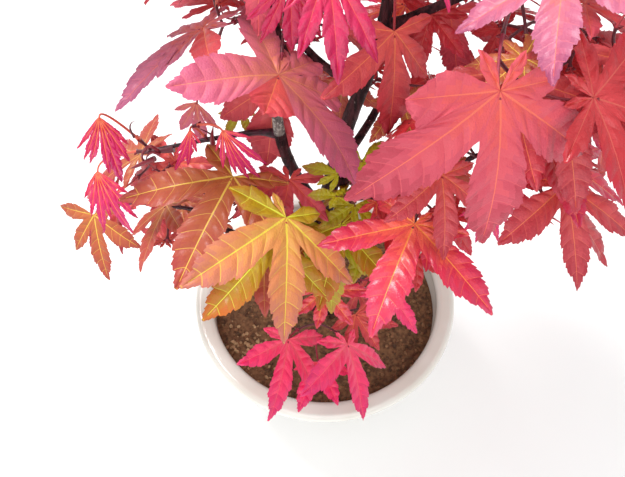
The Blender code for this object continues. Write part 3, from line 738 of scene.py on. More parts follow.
# inner, middle and outer colour of the blade, main vein, petiole, gloss and how strongly the net shows
Tint = namedtuple("Tint", "inner middle outer vein petiole gloss net")
TINTS = {name: Tint(*row) for name, row in {
    "amber": ((212, 160, 72), (208, 130, 76), (188, 106, 90), (228, 208, 74), (190, 80, 70), 0.35, 0.6),
    "umber": ((180, 102, 52), (170, 82, 50), (160, 60, 54), (222, 186, 76), (180, 120, 60), 0.30, 0.6),
    "lime": ((186, 160, 20), (164, 122, 12), (178, 94, 26), (216, 222, 70), (160, 150, 50), 0.35, 0.5),
    "olive": ((186, 182, 14), (164, 160, 12), (166, 122, 36), (186, 190, 70), (140, 90, 50), 0.50, 0.4),
    "scarlet": ((248, 112, 82), (212, 49, 74), (190, 42, 82), (248, 146, 76), (92, 30, 52), 0.90, 0.25),
    "rose": ((244, 88, 118), (238, 44, 100), (208, 34, 100), (238, 92, 104), (140, 20, 50), 0.70, 0.2),
    "dusty": ((218, 84, 78), (202, 74, 92), (164, 44, 64), (226, 106, 86), (150, 50, 70), 0.30, 0.15),
    "mauve": ((198, 102, 90), (186, 96, 122), (156, 76, 108), (222, 110, 92), (150, 50, 70), 0.30, 0.15),
    "pink": ((220, 72, 94), (210, 22, 98), (190, 28, 104), (242, 130, 80), (214, 96, 76), 0.55, 0.3),
    "magenta": ((206, 42, 74), (192, 14, 78), (164, 16, 72), (212, 70, 74), (150, 30, 50), 0.75, 0.15),
    "crimson": ((204, 58, 64), (176, 28, 38), (180, 34, 60), (204, 84, 74), (120, 24, 40), 0.70, 0.2),
    "coral": ((220, 92, 82), (198, 70, 78), (168, 40, 56), (230, 124, 86), (160, 40, 50), 0.45, 0.25),
    "blush": ((208, 118, 98), (204, 102, 122), (188, 86, 118), (222, 140, 106), (150, 50, 70), 0.30, 0.12),
    "russet": ((174, 108, 58), (168, 66, 50), (170, 70, 62), (204, 146, 84), (120, 40, 40), 0.35, 0.4),
}.items()}


def linear(colour):
    """A colour of screen values from 0 to 255 as the linear values that a shader mixes."""
    value = np.asarray(colour, float) / 255
    return np.where(value <= 0.04045, value / 12.92, ((value + 0.055) / 1.055) ** 2.4)


def tint_colours(tint):
    """Six plain steps from inner over middle to outer, then the main and the side vein."""
    stops = np.stack([linear(tint.inner), linear(tint.middle), linear(tint.outer)])
    step = np.linspace(0.0, 1.0, ZONES)
    blade = np.stack([np.interp(step, (0.0, 0.5, 1.0), stops[:, channel]) for channel in range(3)], 1)
    side = stops[1] + (linear(tint.vein) - stops[1]) * tint.net
    return [*blade, linear(tint.vein), side]


# %% Node groups
class SkinGroup:
    """A shader group written as steps, each of which adds a node and gives its output to the next ones."""

    def __init__(self, name, inputs):
        self.tree = bpy.data.node_groups.new(name, "ShaderNodeTree")
        for label, value in inputs.items():
            self.socket(label, "INPUT", isinstance(value, tuple)).default_value = value
        self.given = self.tree.nodes.new("NodeGroupInput").outputs
        self.place = self.tree.nodes.new("ShaderNodeTexCoord").outputs["Object"]

    def socket(self, label, in_out, is_colour):
        kind = "NodeSocketColor" if is_colour else "NodeSocketFloat"
        return self.tree.interface.new_socket(label, in_out=in_out, socket_type=kind)

    def step(self, kind, output, inputs, **settings):
        """A node with its settings, whose inputs are linked to sockets or set to plain values."""
        node = self.tree.nodes.new(f"ShaderNode{kind}")
        for label, value in settings.items():
            setattr(node, label, value)
        for label, value in inputs.items():
            if isinstance(value, bpy.types.NodeSocket):
                self.tree.links.new(value, node.inputs[label])
            else:
                node.inputs[label].default_value = value
        return node.outputs[output]

    def noise(self, place, scale, detail):
        return self.step("TexNoise", "Fac", {"Vector": place, "Scale": scale, "Detail": detail})

    def cell_edge(self, place, scale):
        cells = {"Vector": place, "Scale": scale}
        return self.step("TexVoronoi", "Distance", cells, feature="DISTANCE_TO_EDGE")

    def ranged(self, value, low, high, start=0.0, end=1.0):
        """start where the value is low or less, end where it is high or more, and even between them."""
        return self.step("MapRange", "Result", {"Value": value, "From Min": low, "From Max": high,
                                                "To Min": start, "To Max": end})

    def times_plus(self, value, factor, more):
        """value * factor + more."""
        return self.step("Math", "Value", {0: value, 1: factor, 2: more}, operation="MULTIPLY_ADD")

    def mixed(self, share, first, second):
        return self.step("Mix", "Result", {"Factor": share, "A": first, "B": second}, data_type="RGBA")

    def gives(self, **outputs):
        """Links the outputs and gives the finished group."""
        for label in outputs:
            self.socket(label, "OUTPUT", label == "Color")
        end = self.tree.nodes.new("NodeGroupOutput")
        for label, value in outputs.items():
            self.tree.links.new(value, end.inputs[label])
        return self.tree


# %% Materials
def skinned_material(name, group, values, bump, distance, coat=0.0, specular=0.5):
    """A material whose roughness, bump and, where the group gives one, colour come from a group."""
    material = bpy.data.materials.new(name)
    material.use_nodes = True
    nodes, links = material.node_tree.nodes, material.node_tree.links
    shader = nodes["Principled BSDF"]
    skin = nodes.new("ShaderNodeGroup")
    skin.node_tree = group
    for label, value in values.items():
        skin.inputs[label].default_value = value
    if "Color" in skin.outputs:
        links.new(skin.outputs["Color"], shader.inputs["Base Color"])
    links.new(skin.outputs["Roughness"], shader.inputs["Roughness"])
    relief = nodes.new("ShaderNodeBump")
    relief.inputs["Strength"].default_value = bump
    relief.inputs["Distance"].default_value = distance
    links.new(skin.outputs["Height"], relief.inputs["Height"])
    links.new(relief.outputs["Normal"], shader.inputs["Normal"])
    shader.inputs["Coat Weight"].default_value = coat
    shader.inputs["Specular IOR Level"].default_value = specular
    return material


def leaf_skin_group():
    """Height of a net of fine veins over soft pillows, and a roughness that wanders a little."""
    skin = SkinGroup("leaf_skin", {"Roughness": 0.4, "Net Size": 900.0})
    pillow = skin.ranged(skin.cell_edge(skin.place, skin.given["Net Size"]), 0.0, 0.25)
    wander = skin.ranged(skin.noise(skin.place, 160.0, 3.0), 0.0, 1.0, -0.14, 0.14)
    rough = skin.step("Math", "Value", {0: skin.given["Roughness"], 1: wander})
    return skin.gives(Roughness=rough, Height=pillow)


LEAF_SKIN = leaf_skin_group()


def leaf_material(name, colour, gloss):
    """A plain colour under a waxy skin: gloss lowers the roughness and adds a thin coat."""
    material = skinned_material(name, LEAF_SKIN, {"Roughness": 0.62 - 0.26 * gloss}, 0.35, 0.0002,
                                coat=0.45 * gloss, specular=0.35)
    shader = material.node_tree.nodes["Principled BSDF"]
    shader.inputs["Base Color"].default_value = (*colour, 1.0)
    shader.inputs["Coat Roughness"].default_value = 0.2
    return material


LEAF_MATERIALS = {
    name: [leaf_material(f"leaf_{name}_{step}", colour, tint.gloss)
           for step, colour in enumerate(tint_colours(tint))]
    for name, tint in TINTS.items()
}
print("leaf materials:", sum(len(steps) for steps in LEAF_MATERIALS.values()))

# %% [markdown]
# ## One leaf
# A lobe is two sheets that meet at its midrib. Each sheet is a grid: its rows run from the midrib out to
# the edge, slanted forward as the side veins are, and its columns run from the joint to the tip. The edge
# first follows the line to the sinus, which the next lobe shares, and then swells and tapers to the tip.
# Every side vein runs to a large tooth that carries three small ones, so the blade swells in pillows
# between them. Rows at the top of each tooth and in the notch after it draw the saw edge, and a narrow
# strip of faces before each large top is the side vein.

# %% Sizes of a blade
# kind: how far the edge swells past a straight taper, depth of a large and a small tooth, and side veins
# along a lobe of length 1
SWELL = {"broad": 0.200, "young": 0.078}
LARGE_TOOTH = {"broad": 0.026, "young": 0.016}
SMALL_TOOTH = {"broad": 0.013, "young": 0.010}
SIDE_VEINS = {"broad": 6, "young": 5}
INNER_VEINS = 4  # along a lobe of a small inner leaf
DRAWN_SINUS = {"broad": 0.24, "young": 0.20}  # deeper than the plain blade's
INNER_ROWS = np.array([0.0, 0.25, 0.5, 0.535, 0.78, 1.0])
COLUMNS = np.array([0.0, 0.0, 0.22, 0.44, 0.66, 0.86, 1.0])
PER_VEIN = 3  # small teeth to each large one
NOTCH = 0.78  # where a tooth's top lies in its share of the edge
THIN = 0.035  # width of a side vein's strip against the space between two of them
MIDRIB_LAG = 0.5  # how far behind the sinus the row that ends there starts
VEIN_WIDTH, NET_WIDTH = 0.006, 0.004  # half width of a main vein at the joint: first plus second * net
BASE_TURN, BASE_DEPTH = 18.0, 0.05  # where the last lobe's outer edge begins
KEEL, PILLOW, WAVE = 0.20, 0.016, 0.014  # how the halves rise, the skin swells and the edge waves
FAR_SHARE, EDGE_SHARE = 0.72, 0.26  # what the distances to the joint and to the midrib add to a tint's step
ROW_STREAK, FACE_STREAK = 0.035, 0.02  # spread of chance in that step
VEIN_END = 0.93  # where along its lobe the midrib's colour ends


# %% The surface of a blade
def saw(phase):
    """Rises from 0 to 1 up to a tooth's top and falls back in the notch behind it."""
    phase = phase % 1.0
    return np.minimum(phase / NOTCH, (1 - phase) / (1 - NOTCH))


# Where the rows of half a lobe start on the midrib and end on the edge, their u, the midrib's lag behind the
# sinus and the number of side veins
Sheet = namedtuple("Sheet", "rib edge u lag veins")


def lobe_sheet(lobe, sinus, lag, kind, veins, chance):
    """The rows of one half of a lobe, with x along the midrib and y across it, in spans of the leaf.

    The edge is x = sinus + rest * u and y = y_sinus (1 - u)^2 + 4 swell u^1.4 (1 - u)^1.3, with u from
    0 at the sinus to 1 at the tip, and the teeth push it out and forward.
    """
    length, swell = lobe.size, SWELL[kind] * lobe.width
    teeth = PER_VEIN * veins
    tops = (np.arange(teeth) + NOTCH) / teeth
    notches = np.arange(1, teeth) / teeth
    u = np.unique(np.concatenate([tops, notches, tops[PER_VEIN - 1::PER_VEIN] - THIN / veins, [1.0]]))
    tooth = np.minimum((u * teeth).astype(int), teeth - 1)
    depth = SMALL_TOOTH[kind] * chance.uniform(0.4, 1.5, teeth)[tooth] * saw(u * teeth)
    depth += LARGE_TOOTH[kind] * saw(u * veins)
    depth *= length * np.clip(u / 0.45, 0.1, 1.0) * (1 - 0.6 * u ** 4)
    edge_x = sinus[0] + (length - sinus[0]) * u + 0.8 * depth
    edge_y = sinus[1] * (1 - u) ** 2 + 4 * swell * length * u ** 1.4 * (1 - u) ** 1.3 + depth
    edge_x[-1], edge_y[-1] = length, 0.0
    rib_x = np.concatenate([INNER_ROWS * lag, lag + (length - lag) * u ** 1.12])
    edge = np.concatenate([INNER_ROWS[:, None] * sinus, np.stack([edge_x, edge_y], 1)])
    return Sheet(rib_x, edge, np.concatenate([INNER_ROWS * 0.0, u]), lag, veins)


# %% Blades in their place
Drape = namedtuple("Drape", "droop keel pillow wave bend twist sway")


def drawn_lobes(grown, chance):
    """The lobes of a leaf: its own where they are set, or those of its kind with a little chance."""
    if grown.lobes:
        return [Lobe(*lobe) for lobe in grown.lobes]
    return [Lobe(turn + chance.normal(0, 1.5), size * chance.normal(1.0, 0.03))
            for turn, size in all_lobes(grown.leaf.kind)]


def blade_sheets(leaf, lobes, side_veins, net, chance):
    """The sheets of a blade: a grid of points, the step of the tint for each triangle, and the lobe."""
    axes = np.array(leaf.at, float), *blade_frame(leaf.bearing, leaf.dip, leaf.roll)
    sinuses = [(lobes[0].turn - BASE_TURN, BASE_DEPTH)]
    for lobe, after in zip(lobes, lobes[1:]):
        deep = DRAWN_SINUS[leaf.kind] * min(lobe.size, after.size) + SINUS_EXTRA
        sinuses.append(((lobe.turn + after.turn) / 2, lobe.sinus or deep))
    sinuses.append((lobes[-1].turn + BASE_TURN, BASE_DEPTH))
    for i, lobe in enumerate(lobes):
        bend = chance.normal(0.04, 0.10) if len(lobes) == 7 else 0.0  # only a whole leaf curls by chance
        drape = Drape(DROOP[leaf.kind], KEEL, PILLOW, WAVE * chance.uniform(0.4, 1.6), bend,
                      chance.normal(0, 0.25), chance.normal(0, 0.04))
        veins = max(2, round(side_veins * lobe.size))
        turns, distances = np.array(sinuses[i:i + 2]).T
        aside = np.radians(np.abs(turns - lobe.turn))
        notches = distances[:, None] * np.stack([np.cos(aside), np.sin(aside)], 1)
        lag = MIDRIB_LAG * notches[:, 0].mean()
        for side, sinus in zip((-1, 1), notches):
            sheet = lobe_sheet(lobe, sinus, lag, leaf.kind, veins, chance)
            yield *sheet_in_place(leaf, axes, lobe, side, sheet, drape, net, chance), lobe


def tint_steps(r, t, u, veins, chance):
    """A step of the tint for each cell: FAR_SHARE * distance to the joint + EDGE_SHARE * t + chance."""
    far = np.clip(r / 0.95, 0.0, 1.0)
    streaks = chance.normal(0, ROW_STREAK, (len(far), 1)) + chance.normal(0, FACE_STREAK, far.shape)
    zone = FAR_SHARE * far + EDGE_SHARE * t + streaks
    step = np.clip((zone * ZONES).astype(int), 0, ZONES - 1)
    step[:, 0] = np.where(u[:-1] < VEIN_END, VEIN, step[:, 0])
    strip = np.isclose(np.diff(u), THIN / veins)
    strip[2] = True  # the narrow row in INNER_ROWS
    step[:, 1:-1] = np.where(strip[:, None], SIDE_VEIN, step[:, 1:-1])
    return step


def sheet_in_place(leaf, axes, lobe, side, sheet, drape, net, chance):
    """Lifts a flat half lobe into its draped form, with a step of the tint for each of its faces.

    z = - droop r^2 + keel y (1 - 0.4 r) + pillow sin(pi t) |sin(pi (veins u - top))| + wave t^2 u sin(...)
    - bend f^2 + twist y f, where f is the distance past the sinus. The lobe also sways by sway f (size - f).
    """
    origin, along, right, up = axes
    rib_x, edge, u, lag, veins = sheet
    vein = (VEIN_WIDTH + NET_WIDTH * net) * (1 - 0.8 * u) * (0.55 + 0.45 * lobe.size)
    t = COLUMNS[None, :] + 0 * rib_x[:, None]
    share = np.clip(vein / np.maximum(edge[:, 1], 1e-6), 0.0, 0.45)[:, None]
    t = share + (1 - share) * t
    t[:, 0] = 0.0
    x = rib_x[:, None] + (edge[:, :1] - rib_x[:, None]) * t ** 1.3
    y = edge[:, 1:] * t
    past = np.maximum(x - lag / MIDRIB_LAG, 0.0)
    r = np.hypot(x, y)
    z = -drape.droop * r ** 2 + drape.keel * y * (1 - 0.4 * r)
    top = 1 - (1 - NOTCH) / PER_VEIN
    z += drape.pillow * np.sin(math.pi * t) * np.abs(np.sin(math.pi * (veins * u[:, None] - top)))
    z += drape.wave * t ** 2 * u[:, None] * np.sin(2 * math.pi * (2.3 * u[:, None] + chance.uniform()))
    z += -drape.bend * past ** 2 + drape.twist * side * y * past
    z[:, 0] += 0.35 * vein
    across = side * y + drape.sway * past * (lobe.size - past)
    turn = math.radians(lobe.turn)
    flat_x = x * math.cos(turn) - across * math.sin(turn)
    flat_y = x * math.sin(turn) + across * math.cos(turn)
    lift = flat_x[..., None] * along + flat_y[..., None] * right + z[..., None] * up
    step = tint_steps(r[:-1, 1:], t[:-1, 1:], u, veins, chance)
    points = origin + leaf.span * lift
    if side > 0:
        points, step = points[:, ::-1], step[:, ::-1]
    return points, np.repeat(step.ravel(), 2)


# %% Grow the blades
for mass in MASSES:
    sheaf, used = Sheaf(), []
    for number, grown in enumerate(growth.leaves):
        leaf = grown.leaf
        if leaf.mass != mass.name:
            continue
        chance = np.random.default_rng([SEED, number])
        lobes = drawn_lobes(grown, chance)
        side_veins = SIDE_VEINS[leaf.kind] if number < FULL_COUNT else INNER_VEINS
        for points, steps, lobe in blade_sheets(leaf, lobes, side_veins, TINTS[grown.tint].net, chance):
            shown = lobe.tint or grown.tint
            if shown not in used:
                used.append(shown)
            sheaf.grid(points, steps + TINT_SLOTS * used.index(shown))
    materials = [step for name in used for step in LEAF_MATERIALS[name]]
    blades = make_piece(f"{mass.name}_blades", sheaf, materials)
    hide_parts(mass.name)

# %% [markdown]
# ## Bark
# The bark of a young maple is thin: dark purple-brown with fine lengthwise cracks, a raised ring wherever a
# year's growth began, and a collar where a bough leaves. A texture could draw this, but a mesh also shows
# it in outline, so each limb is a tube whose radius follows a grid of smoothed random heights.

# %% Random heights that are smooth and close round a limb
def value_noise(rows, sides, cell_rows, cell_sides, chance):
    """Random heights from -1 to 1 on a coarse grid, eased by 3 t^2 - 2 t^3 and mixed across each cell.

    The grid has cell_rows cells along the limb and cell_sides round it, where the last meets the first.
    """
    coarse = chance.uniform(-1, 1, (cell_rows + 1, cell_sides))
    row = np.linspace(0, cell_rows, rows, endpoint=False)
    side = np.linspace(0, cell_sides, sides, endpoint=False)
    i, j = row.astype(int), side.astype(int)
    s, t = row - i, side - j
    s, t = (s * s * (3 - 2 * s))[:, None], (t * t * (3 - 2 * t))[None]
    after = (j + 1) % cell_sides
    near = coarse[i][:, j] * (1 - t) + coarse[i][:, after] * t
    far = coarse[i + 1][:, j] * (1 - t) + coarse[i + 1][:, after] * t
    return near * (1 - s) + far * s


def along_path(path, step):
    """The path's points, its length at each and an even row of lengths about step apart."""
    lengths = np.concatenate([[0.0], np.cumsum(np.linalg.norm(np.diff(path, axis=0), axis=1))])
    return lengths, np.linspace(0.0, lengths[-1], max(8, round(lengths[-1] / step)))


# %% Bark material
def bark_skin_group():
    """Colour, roughness and height of bark: streaks along Z from dark to light, cracks and pale lichen."""
    bark = SkinGroup("bark_skin", {"Dark": (0.02, 0.01, 0.015, 1), "Light": (0.1, 0.06, 0.07, 1),
                                   "Lichen": 0.1, "Roughness": 0.6})
    stretched = bark.step("Mapping", "Vector", {"Vector": bark.place, "Scale": (1.0, 1.0, 0.22)})
    streak = bark.noise(stretched, 620.0, 5.0)
    colour = bark.mixed(bark.ranged(streak, 0.38, 0.68), bark.given["Dark"], bark.given["Light"])
    spots = bark.step("Math", "Value", {0: bark.noise(bark.place, 700.0, 4.0), 1: bark.given["Lichen"]})
    lichen = bark.ranged(spots, 0.72, 0.82)
    crust = bark.mixed(lichen, colour, (0.42, 0.40, 0.36, 1.0))
    rough = bark.times_plus(lichen, 0.3, bark.given["Roughness"])
    ridge = bark.ranged(bark.cell_edge(stretched, 900.0), 0.0, 0.12)
    return bark.gives(Color=crust, Roughness=rough, Height=bark.times_plus(ridge, 0.6, streak))


BARK_SKIN = bark_skin_group()


def bark_material(name, dark, light, lichen, roughness, *finish, **more):
    """Bark between two linear colours, with lichen where the share is above nothing."""
    values = {"Dark": (*dark, 1), "Light": (*light, 1), "Lichen": lichen, "Roughness": roughness}
    return skinned_material(name, BARK_SKIN, values, *finish, **more)


OLD_BARK = bark_material("old_bark", (0.012, 0.003, 0.005), (0.085, 0.024, 0.030), 0.03, 0.55, 0.6, 0.0004,
                         specular=0.15)
STUB_BARK = bark_material("stub_bark", (0.05, 0.035, 0.04), (0.25, 0.22, 0.2), 0.26, 0.6, 0.8, 0.0005)
YOUNG_BARK = bark_material("young_bark", (0.012, 0.003, 0.006), (0.075, 0.012, 0.03), 0.0, 0.32, 0.35, 0.0002,
                           coat=0.3, specular=0.25)

# %% Limbs with relief
RING_EVERY = 17.0  # millimetres between ring scars
RING_HEIGHT, RING_WIDTH = 0.22, 0.55
RELIEF = 0.055  # of the radius
COLLAR, COLLAR_REACH = 0.55, 2.2  # of the radius, and how many radii it reaches past the parent's bark
STUB_LENGTH = 13.0
SURFACE_STEP = 0.9
PARENTS = {bough.name: bough.parent for bough in BOUGHS}


def parent_radius(name):
    """Radius of the parent at the height where a limb leaves it, or nothing for the trunk."""
    if name not in PARENTS:
        return 0.0
    path, radii = LIMBS[PARENTS[name]]
    return float(np.interp(LIMBS[name][0][0][2], path[:, 2], radii))


def limb_surface(path, radii, buried, chance, sides):
    """Rings of a limb: radius * (1 + collar + relief) + ring scars.

    The collar is COLLAR * exp(-((length - buried) / (COLLAR_REACH * radius))^2). The relief is one part long
    swellings and half a part fine cracks. A ring scar is RING_HEIGHT * exp(-(distance / RING_WIDTH)^2).
    """
    lengths, at = along_path(path, SURFACE_STEP)
    fine = np.stack([np.interp(at, lengths, path[:, i]) for i in range(3)], 1)
    radius = np.interp(at, lengths, radii)[:, None]
    rows = len(at)
    relief = value_noise(rows, sides, max(2, round(at[-1] / 14)), 5, chance)
    relief = relief + 0.5 * value_noise(rows, sides, max(3, round(at[-1] / 5)), sides // 3, chance)
    collar = 0.0
    if buried:
        collar = COLLAR * np.exp(-((at - buried) / (COLLAR_REACH * radii[0])) ** 2)[:, None]
    scars = np.arange(RING_EVERY * 0.7, at[-1], RING_EVERY) + chance.uniform(-3, 3)
    rings = RING_HEIGHT * np.exp(-((at[:, None] - scars[None]) / RING_WIDTH) ** 2).sum(1)[:, None]
    return at, tube_grid(fine, radius * (1 + collar + RELIEF * relief) + rings, sides)


for name, (path, radii) in LIMBS.items():
    chance = np.random.default_rng([SEED, len(name), round(path[0][2])])
    sides = 40 if name == "trunk" else 24
    at, rings = limb_surface(path, radii, parent_radius(name), chance, sides)
    slots = 0
    if name == "limb_left":
        stub = np.concatenate([[False], at[-1] - at <= STUB_LENGTH])
        slots = np.repeat(stub.astype(int), 2 * sides)
    bark = Sheaf()
    bark.grid(capped(rings), slots, closed=True)
    skin = YOUNG_BARK if name == "side_branch" else OLD_BARK
    piece = make_piece(f"{name}_bark", bark, [skin, STUB_BARK], 80.0)
    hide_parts(name)

# %% [markdown]
# ## Stems, twigs and petioles
# From the tip of each bough a stem runs into its mass. Each leaf hangs on a twig that ends in a pair of
# buds, and on past them the petiole bends over to the blade. All of them are the paths that the rule of
# growth laid out, so here they only get their thickness, their swellings and their buds.

# %% Twigs
TWIG_PART = {"broad": 0.45, "young": 0.12}  # share of a stalk that is twig
TWIG_SIDES, STALK_STEPS = 8, 25
STEM_SIDES, STEM_STEPS = 12, 40
SCAR_EVERY, SCAR_HEIGHT, SCAR_WIDTH = 9.0, 0.16, 0.8
NODE_SWELL = 0.45
BUD_LENGTH, BUD_RADIUS = 2.3, 0.62


def stalk_radii(t, part):
    """0.62 - 0.25 t, swollen at the node between twig and petiole and where the petiole meets the blade."""
    node = NODE_SWELL * np.exp(-((t - part) / 0.035) ** 2)
    joint = 0.22 * np.exp(-((t - 1.0) / 0.06) ** 2)
    return 0.62 - 0.25 * t + node + joint


def bud(at, direction, length, radius):
    """A pointed bud: rings of radius * sin(pi s^0.65) along its length, with s from 0 to 1."""
    s = np.linspace(0.02, 1.0, 7)
    path = at + direction * length * s[:, None]
    return capped(tube_grid(path, radius * np.sin(math.pi * s ** 0.65) + 0.02, 7))


TWIG_SKIN = leaf_material("twig_skin", linear((92, 26, 40)), 0.6)
BUD_SCALE = leaf_material("bud_scale", linear((120, 14, 34)), 0.7)
PETIOLE_SKIN = {name: leaf_material(f"petiole_{name}", linear(tint.petiole), 0.5)
                for name, tint in TINTS.items()}
BARK_SLOT, TWIG_SLOT, BUD_SLOT, PETIOLE_SLOT = 0, 1, 2, 3

# slot, radius at the base and knots of each tendril, bract and bud on the forked twig at the left
FORK_MASS = "side_tip_leaves"
FORK_SHOOTS = (
    (TWIG_SLOT, 0.5, ((-81.1, -2, 223.2), (-81.5, -2, 227), (-81.3, -2, 230.2), (-80, -2, 232.7),
                      (-78.6, -2, 233.3))),
    (BUD_SLOT, 0.8, ((-72.6, -2, 214.6), (-75.5, -2, 217.3), (-78.6, -2, 214.6), (-80.2, -2, 210.4),
                     (-80.2, -2, 206.2), (-78.8, -2, 204.1))),
    (BUD_SLOT, 0.7, ((-71.9, -3, 213.1), (-75.1, -3, 214.5), (-77.7, -3, 211.7), (-78.7, -3, 209))),
    (BUD_SLOT, 1.3, ((-74.6, -3, 210.3), (-78.4, -3, 208.2), (-83.8, -3, 204.7), (-86.3, -3, 203.3))),
    (TWIG_SLOT, 1.6, ((-66, -1, 214.5), (-70, -1, 213.5), (-76, -1, 212.5), (-80, -2, 212))),
    (BUD_SLOT, 1.2, ((-48.8, -2, 219.3), (-48.7, -2, 223.8), (-47.5, -2, 230.2))),
    (TWIG_SLOT, 0.45, ((-48.2, -2, 224.5), (-50.8, -2, 227), (-53.4, -2, 228.9))),
)


def grow_stem(wood, mass):
    """The stem of a mass with its scars, and the bud at its end."""
    first, bend, goal, tip_radius = growth.stems[mass.name]
    length = np.linalg.norm(goal - first)
    scars = np.linspace(0, length, STEM_STEPS)[:, None] - np.arange(6.0, length, SCAR_EVERY)[None]
    radii = np.linspace(tip_radius, STEM_TIP * 0.8, STEM_STEPS)
    radii = radii + SCAR_HEIGHT * np.exp(-(scars / SCAR_WIDTH) ** 2).sum(1)
    stem = bend_over((first, bend, goal), STEM_STEPS)
    wood.grid(capped(tube_grid(stem, radii, STEM_SIDES)), BARK_SLOT, closed=True)
    wood.grid(bud(goal, unit(goal - bend), 3.0, 0.9), BUD_SLOT, closed=True)


def grow_stalk(wood, leaf, stalk, petiole_slot):
    """The twig and petiole of a leaf as one tube, and a pair of buds at the node between them."""
    path, t = bend_over(stalk, STALK_STEPS), np.linspace(0.0, 1.0, STALK_STEPS)
    part = TWIG_PART[leaf.kind]
    slots = np.where(np.arange(STALK_STEPS + 1) / (STALK_STEPS + 1) < part, TWIG_SLOT, petiole_slot)
    tube = tube_grid(path, stalk_radii(t, part), TWIG_SIDES)
    wood.grid(capped(tube), np.repeat(slots, 2 * TWIG_SIDES), closed=True)
    step = round(part * (STALK_STEPS - 1))
    ahead = unit(path[step + 1] - path[step])
    aside = unit(np.cross(ahead, (0.0, 0.0, 1.0)))
    for side in (-1, 1):
        direction = unit(0.6 * ahead + side * aside)
        wood.grid(bud(path[step], direction, BUD_LENGTH, BUD_RADIUS), BUD_SLOT, closed=True)


# %% Grow the twigs
for mass in MASSES:
    wood, names = Sheaf(), []
    grow_stem(wood, mass)
    for leaf, stalk, tint, _ in growth.leaves:
        if leaf.mass == mass.name:
            if tint not in names:
                names.append(tint)
            grow_stalk(wood, leaf, stalk, PETIOLE_SLOT + names.index(tint))
    for slot, radius, knots in FORK_SHOOTS if mass.name == FORK_MASS else ():
        shoot = smooth(knots, 5)
        taper = radius * (1 - 0.85 * np.linspace(0.0, 1.0, len(shoot)) ** 1.5)
        wood.grid(capped(tube_grid(shoot, taper, TWIG_SIDES)), slot, closed=True)
    materials = [YOUNG_BARK, TWIG_SKIN, BUD_SCALE] + [PETIOLE_SKIN[name] for name in names]
    twigs = make_piece(f"{mass.name}_twigs", wood, materials, 80.0)
    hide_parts(mass.name)

# %% [markdown]
# ## The pot
# The pot is thrown stoneware under a white glaze. Its wall swells from a small foot to a rolled lip. The
# profile is the same as the solid's but runs on smooth arcs, and one turn of it round the axis gives the
# whole surface. The glaze is thick and glossy, a little darker and warmer in random patches, and stops just
# above the foot.

# %% Glaze
def glaze_group():
    """Colour that drifts from Thick to Thin glaze, roughness that wanders and a faint orange-peel height."""
    glaze = SkinGroup("glaze", {"Thick": (0.7, 0.7, 0.66, 1), "Thin": (0.6, 0.56, 0.5, 1),
                                "Roughness": 0.2, "Specks": 0.5})
    drift = glaze.noise(glaze.place, 28.0, 3.0)
    colour = glaze.mixed(glaze.ranged(drift, 0.35, 0.75), glaze.given["Thick"], glaze.given["Thin"])
    dots = glaze.step("TexVoronoi", "Distance", {"Vector": glaze.place, "Scale": 260.0})
    iron = glaze.ranged(dots, 0.05, 0.11, 1.0, 0.0)
    amount = glaze.step("Math", "Value", {0: iron, 1: glaze.given["Specks"]}, operation="MULTIPLY")
    speckled = glaze.mixed(amount, colour, (0.30, 0.24, 0.18, 1.0))
    rough = glaze.times_plus(drift, 0.10, glaze.given["Roughness"])
    return glaze.gives(Color=speckled, Roughness=rough, Height=glaze.noise(glaze.place, 300.0, 2.0))


GLAZE_SKIN = glaze_group()
GLAZE = skinned_material("white_glaze", GLAZE_SKIN, {"Thick": (0.72, 0.71, 0.66, 1), "Specks": 0.10,
                         "Thin": (0.64, 0.61, 0.54, 1), "Roughness": 0.14}, 0.12, 0.0002, coat=0.5)
BISQUE = skinned_material("bare_stoneware", GLAZE_SKIN, {"Thick": (0.45, 0.36, 0.27, 1), "Specks": 0.6,
                          "Thin": (0.33, 0.25, 0.18, 1), "Roughness": 0.75}, 0.5, 0.0003)

# %% Pot
POT_HEIGHT, RIM_RADIUS, LIP_WIDTH, LIP_DEPTH = 80.0, 75.0, 10.5, 7.0
WALL, SHOULDER_RADIUS, FOOT_RADIUS, FLOOR, BELLY = 4.5, 71.0, 45.0, 7.0, 0.6
POT_SIDES = 144
BARE_FOOT = 2.6
WELL_DEPTH, WELL_RADIUS = 1.2, 38.0


def wall_radius(height, grow):
    """Radius of the inner wall, plus grow: foot + (shoulder - foot) * share of the height ^ BELLY."""
    share = (height - FLOOR) / (POT_HEIGHT - LIP_DEPTH - FLOOR)
    return FOOT_RADIUS - WALL + (SHOULDER_RADIUS - FOOT_RADIUS) * np.clip(share, 0.0, 1.0) ** BELLY + grow


def arc(centre, radius, start, end, count):
    """Points round part of a circle in the profile's plane, from start to end degrees."""
    turn = np.radians(np.linspace(start, end, count))
    return np.stack([centre[0] + radius * np.cos(turn), centre[1] + radius * np.sin(turn)], 1)


def turned(radius, height, sides):
    """Rings round the Z axis, one for each radius; height has a value for each ring or for each point."""
    turn = 2 * math.pi * np.arange(sides) / sides
    radius = radius[:, None]
    height = np.broadcast_to(height, (len(radius), sides))
    return np.stack([radius * np.sin(turn), radius * np.cos(turn), height], 2)


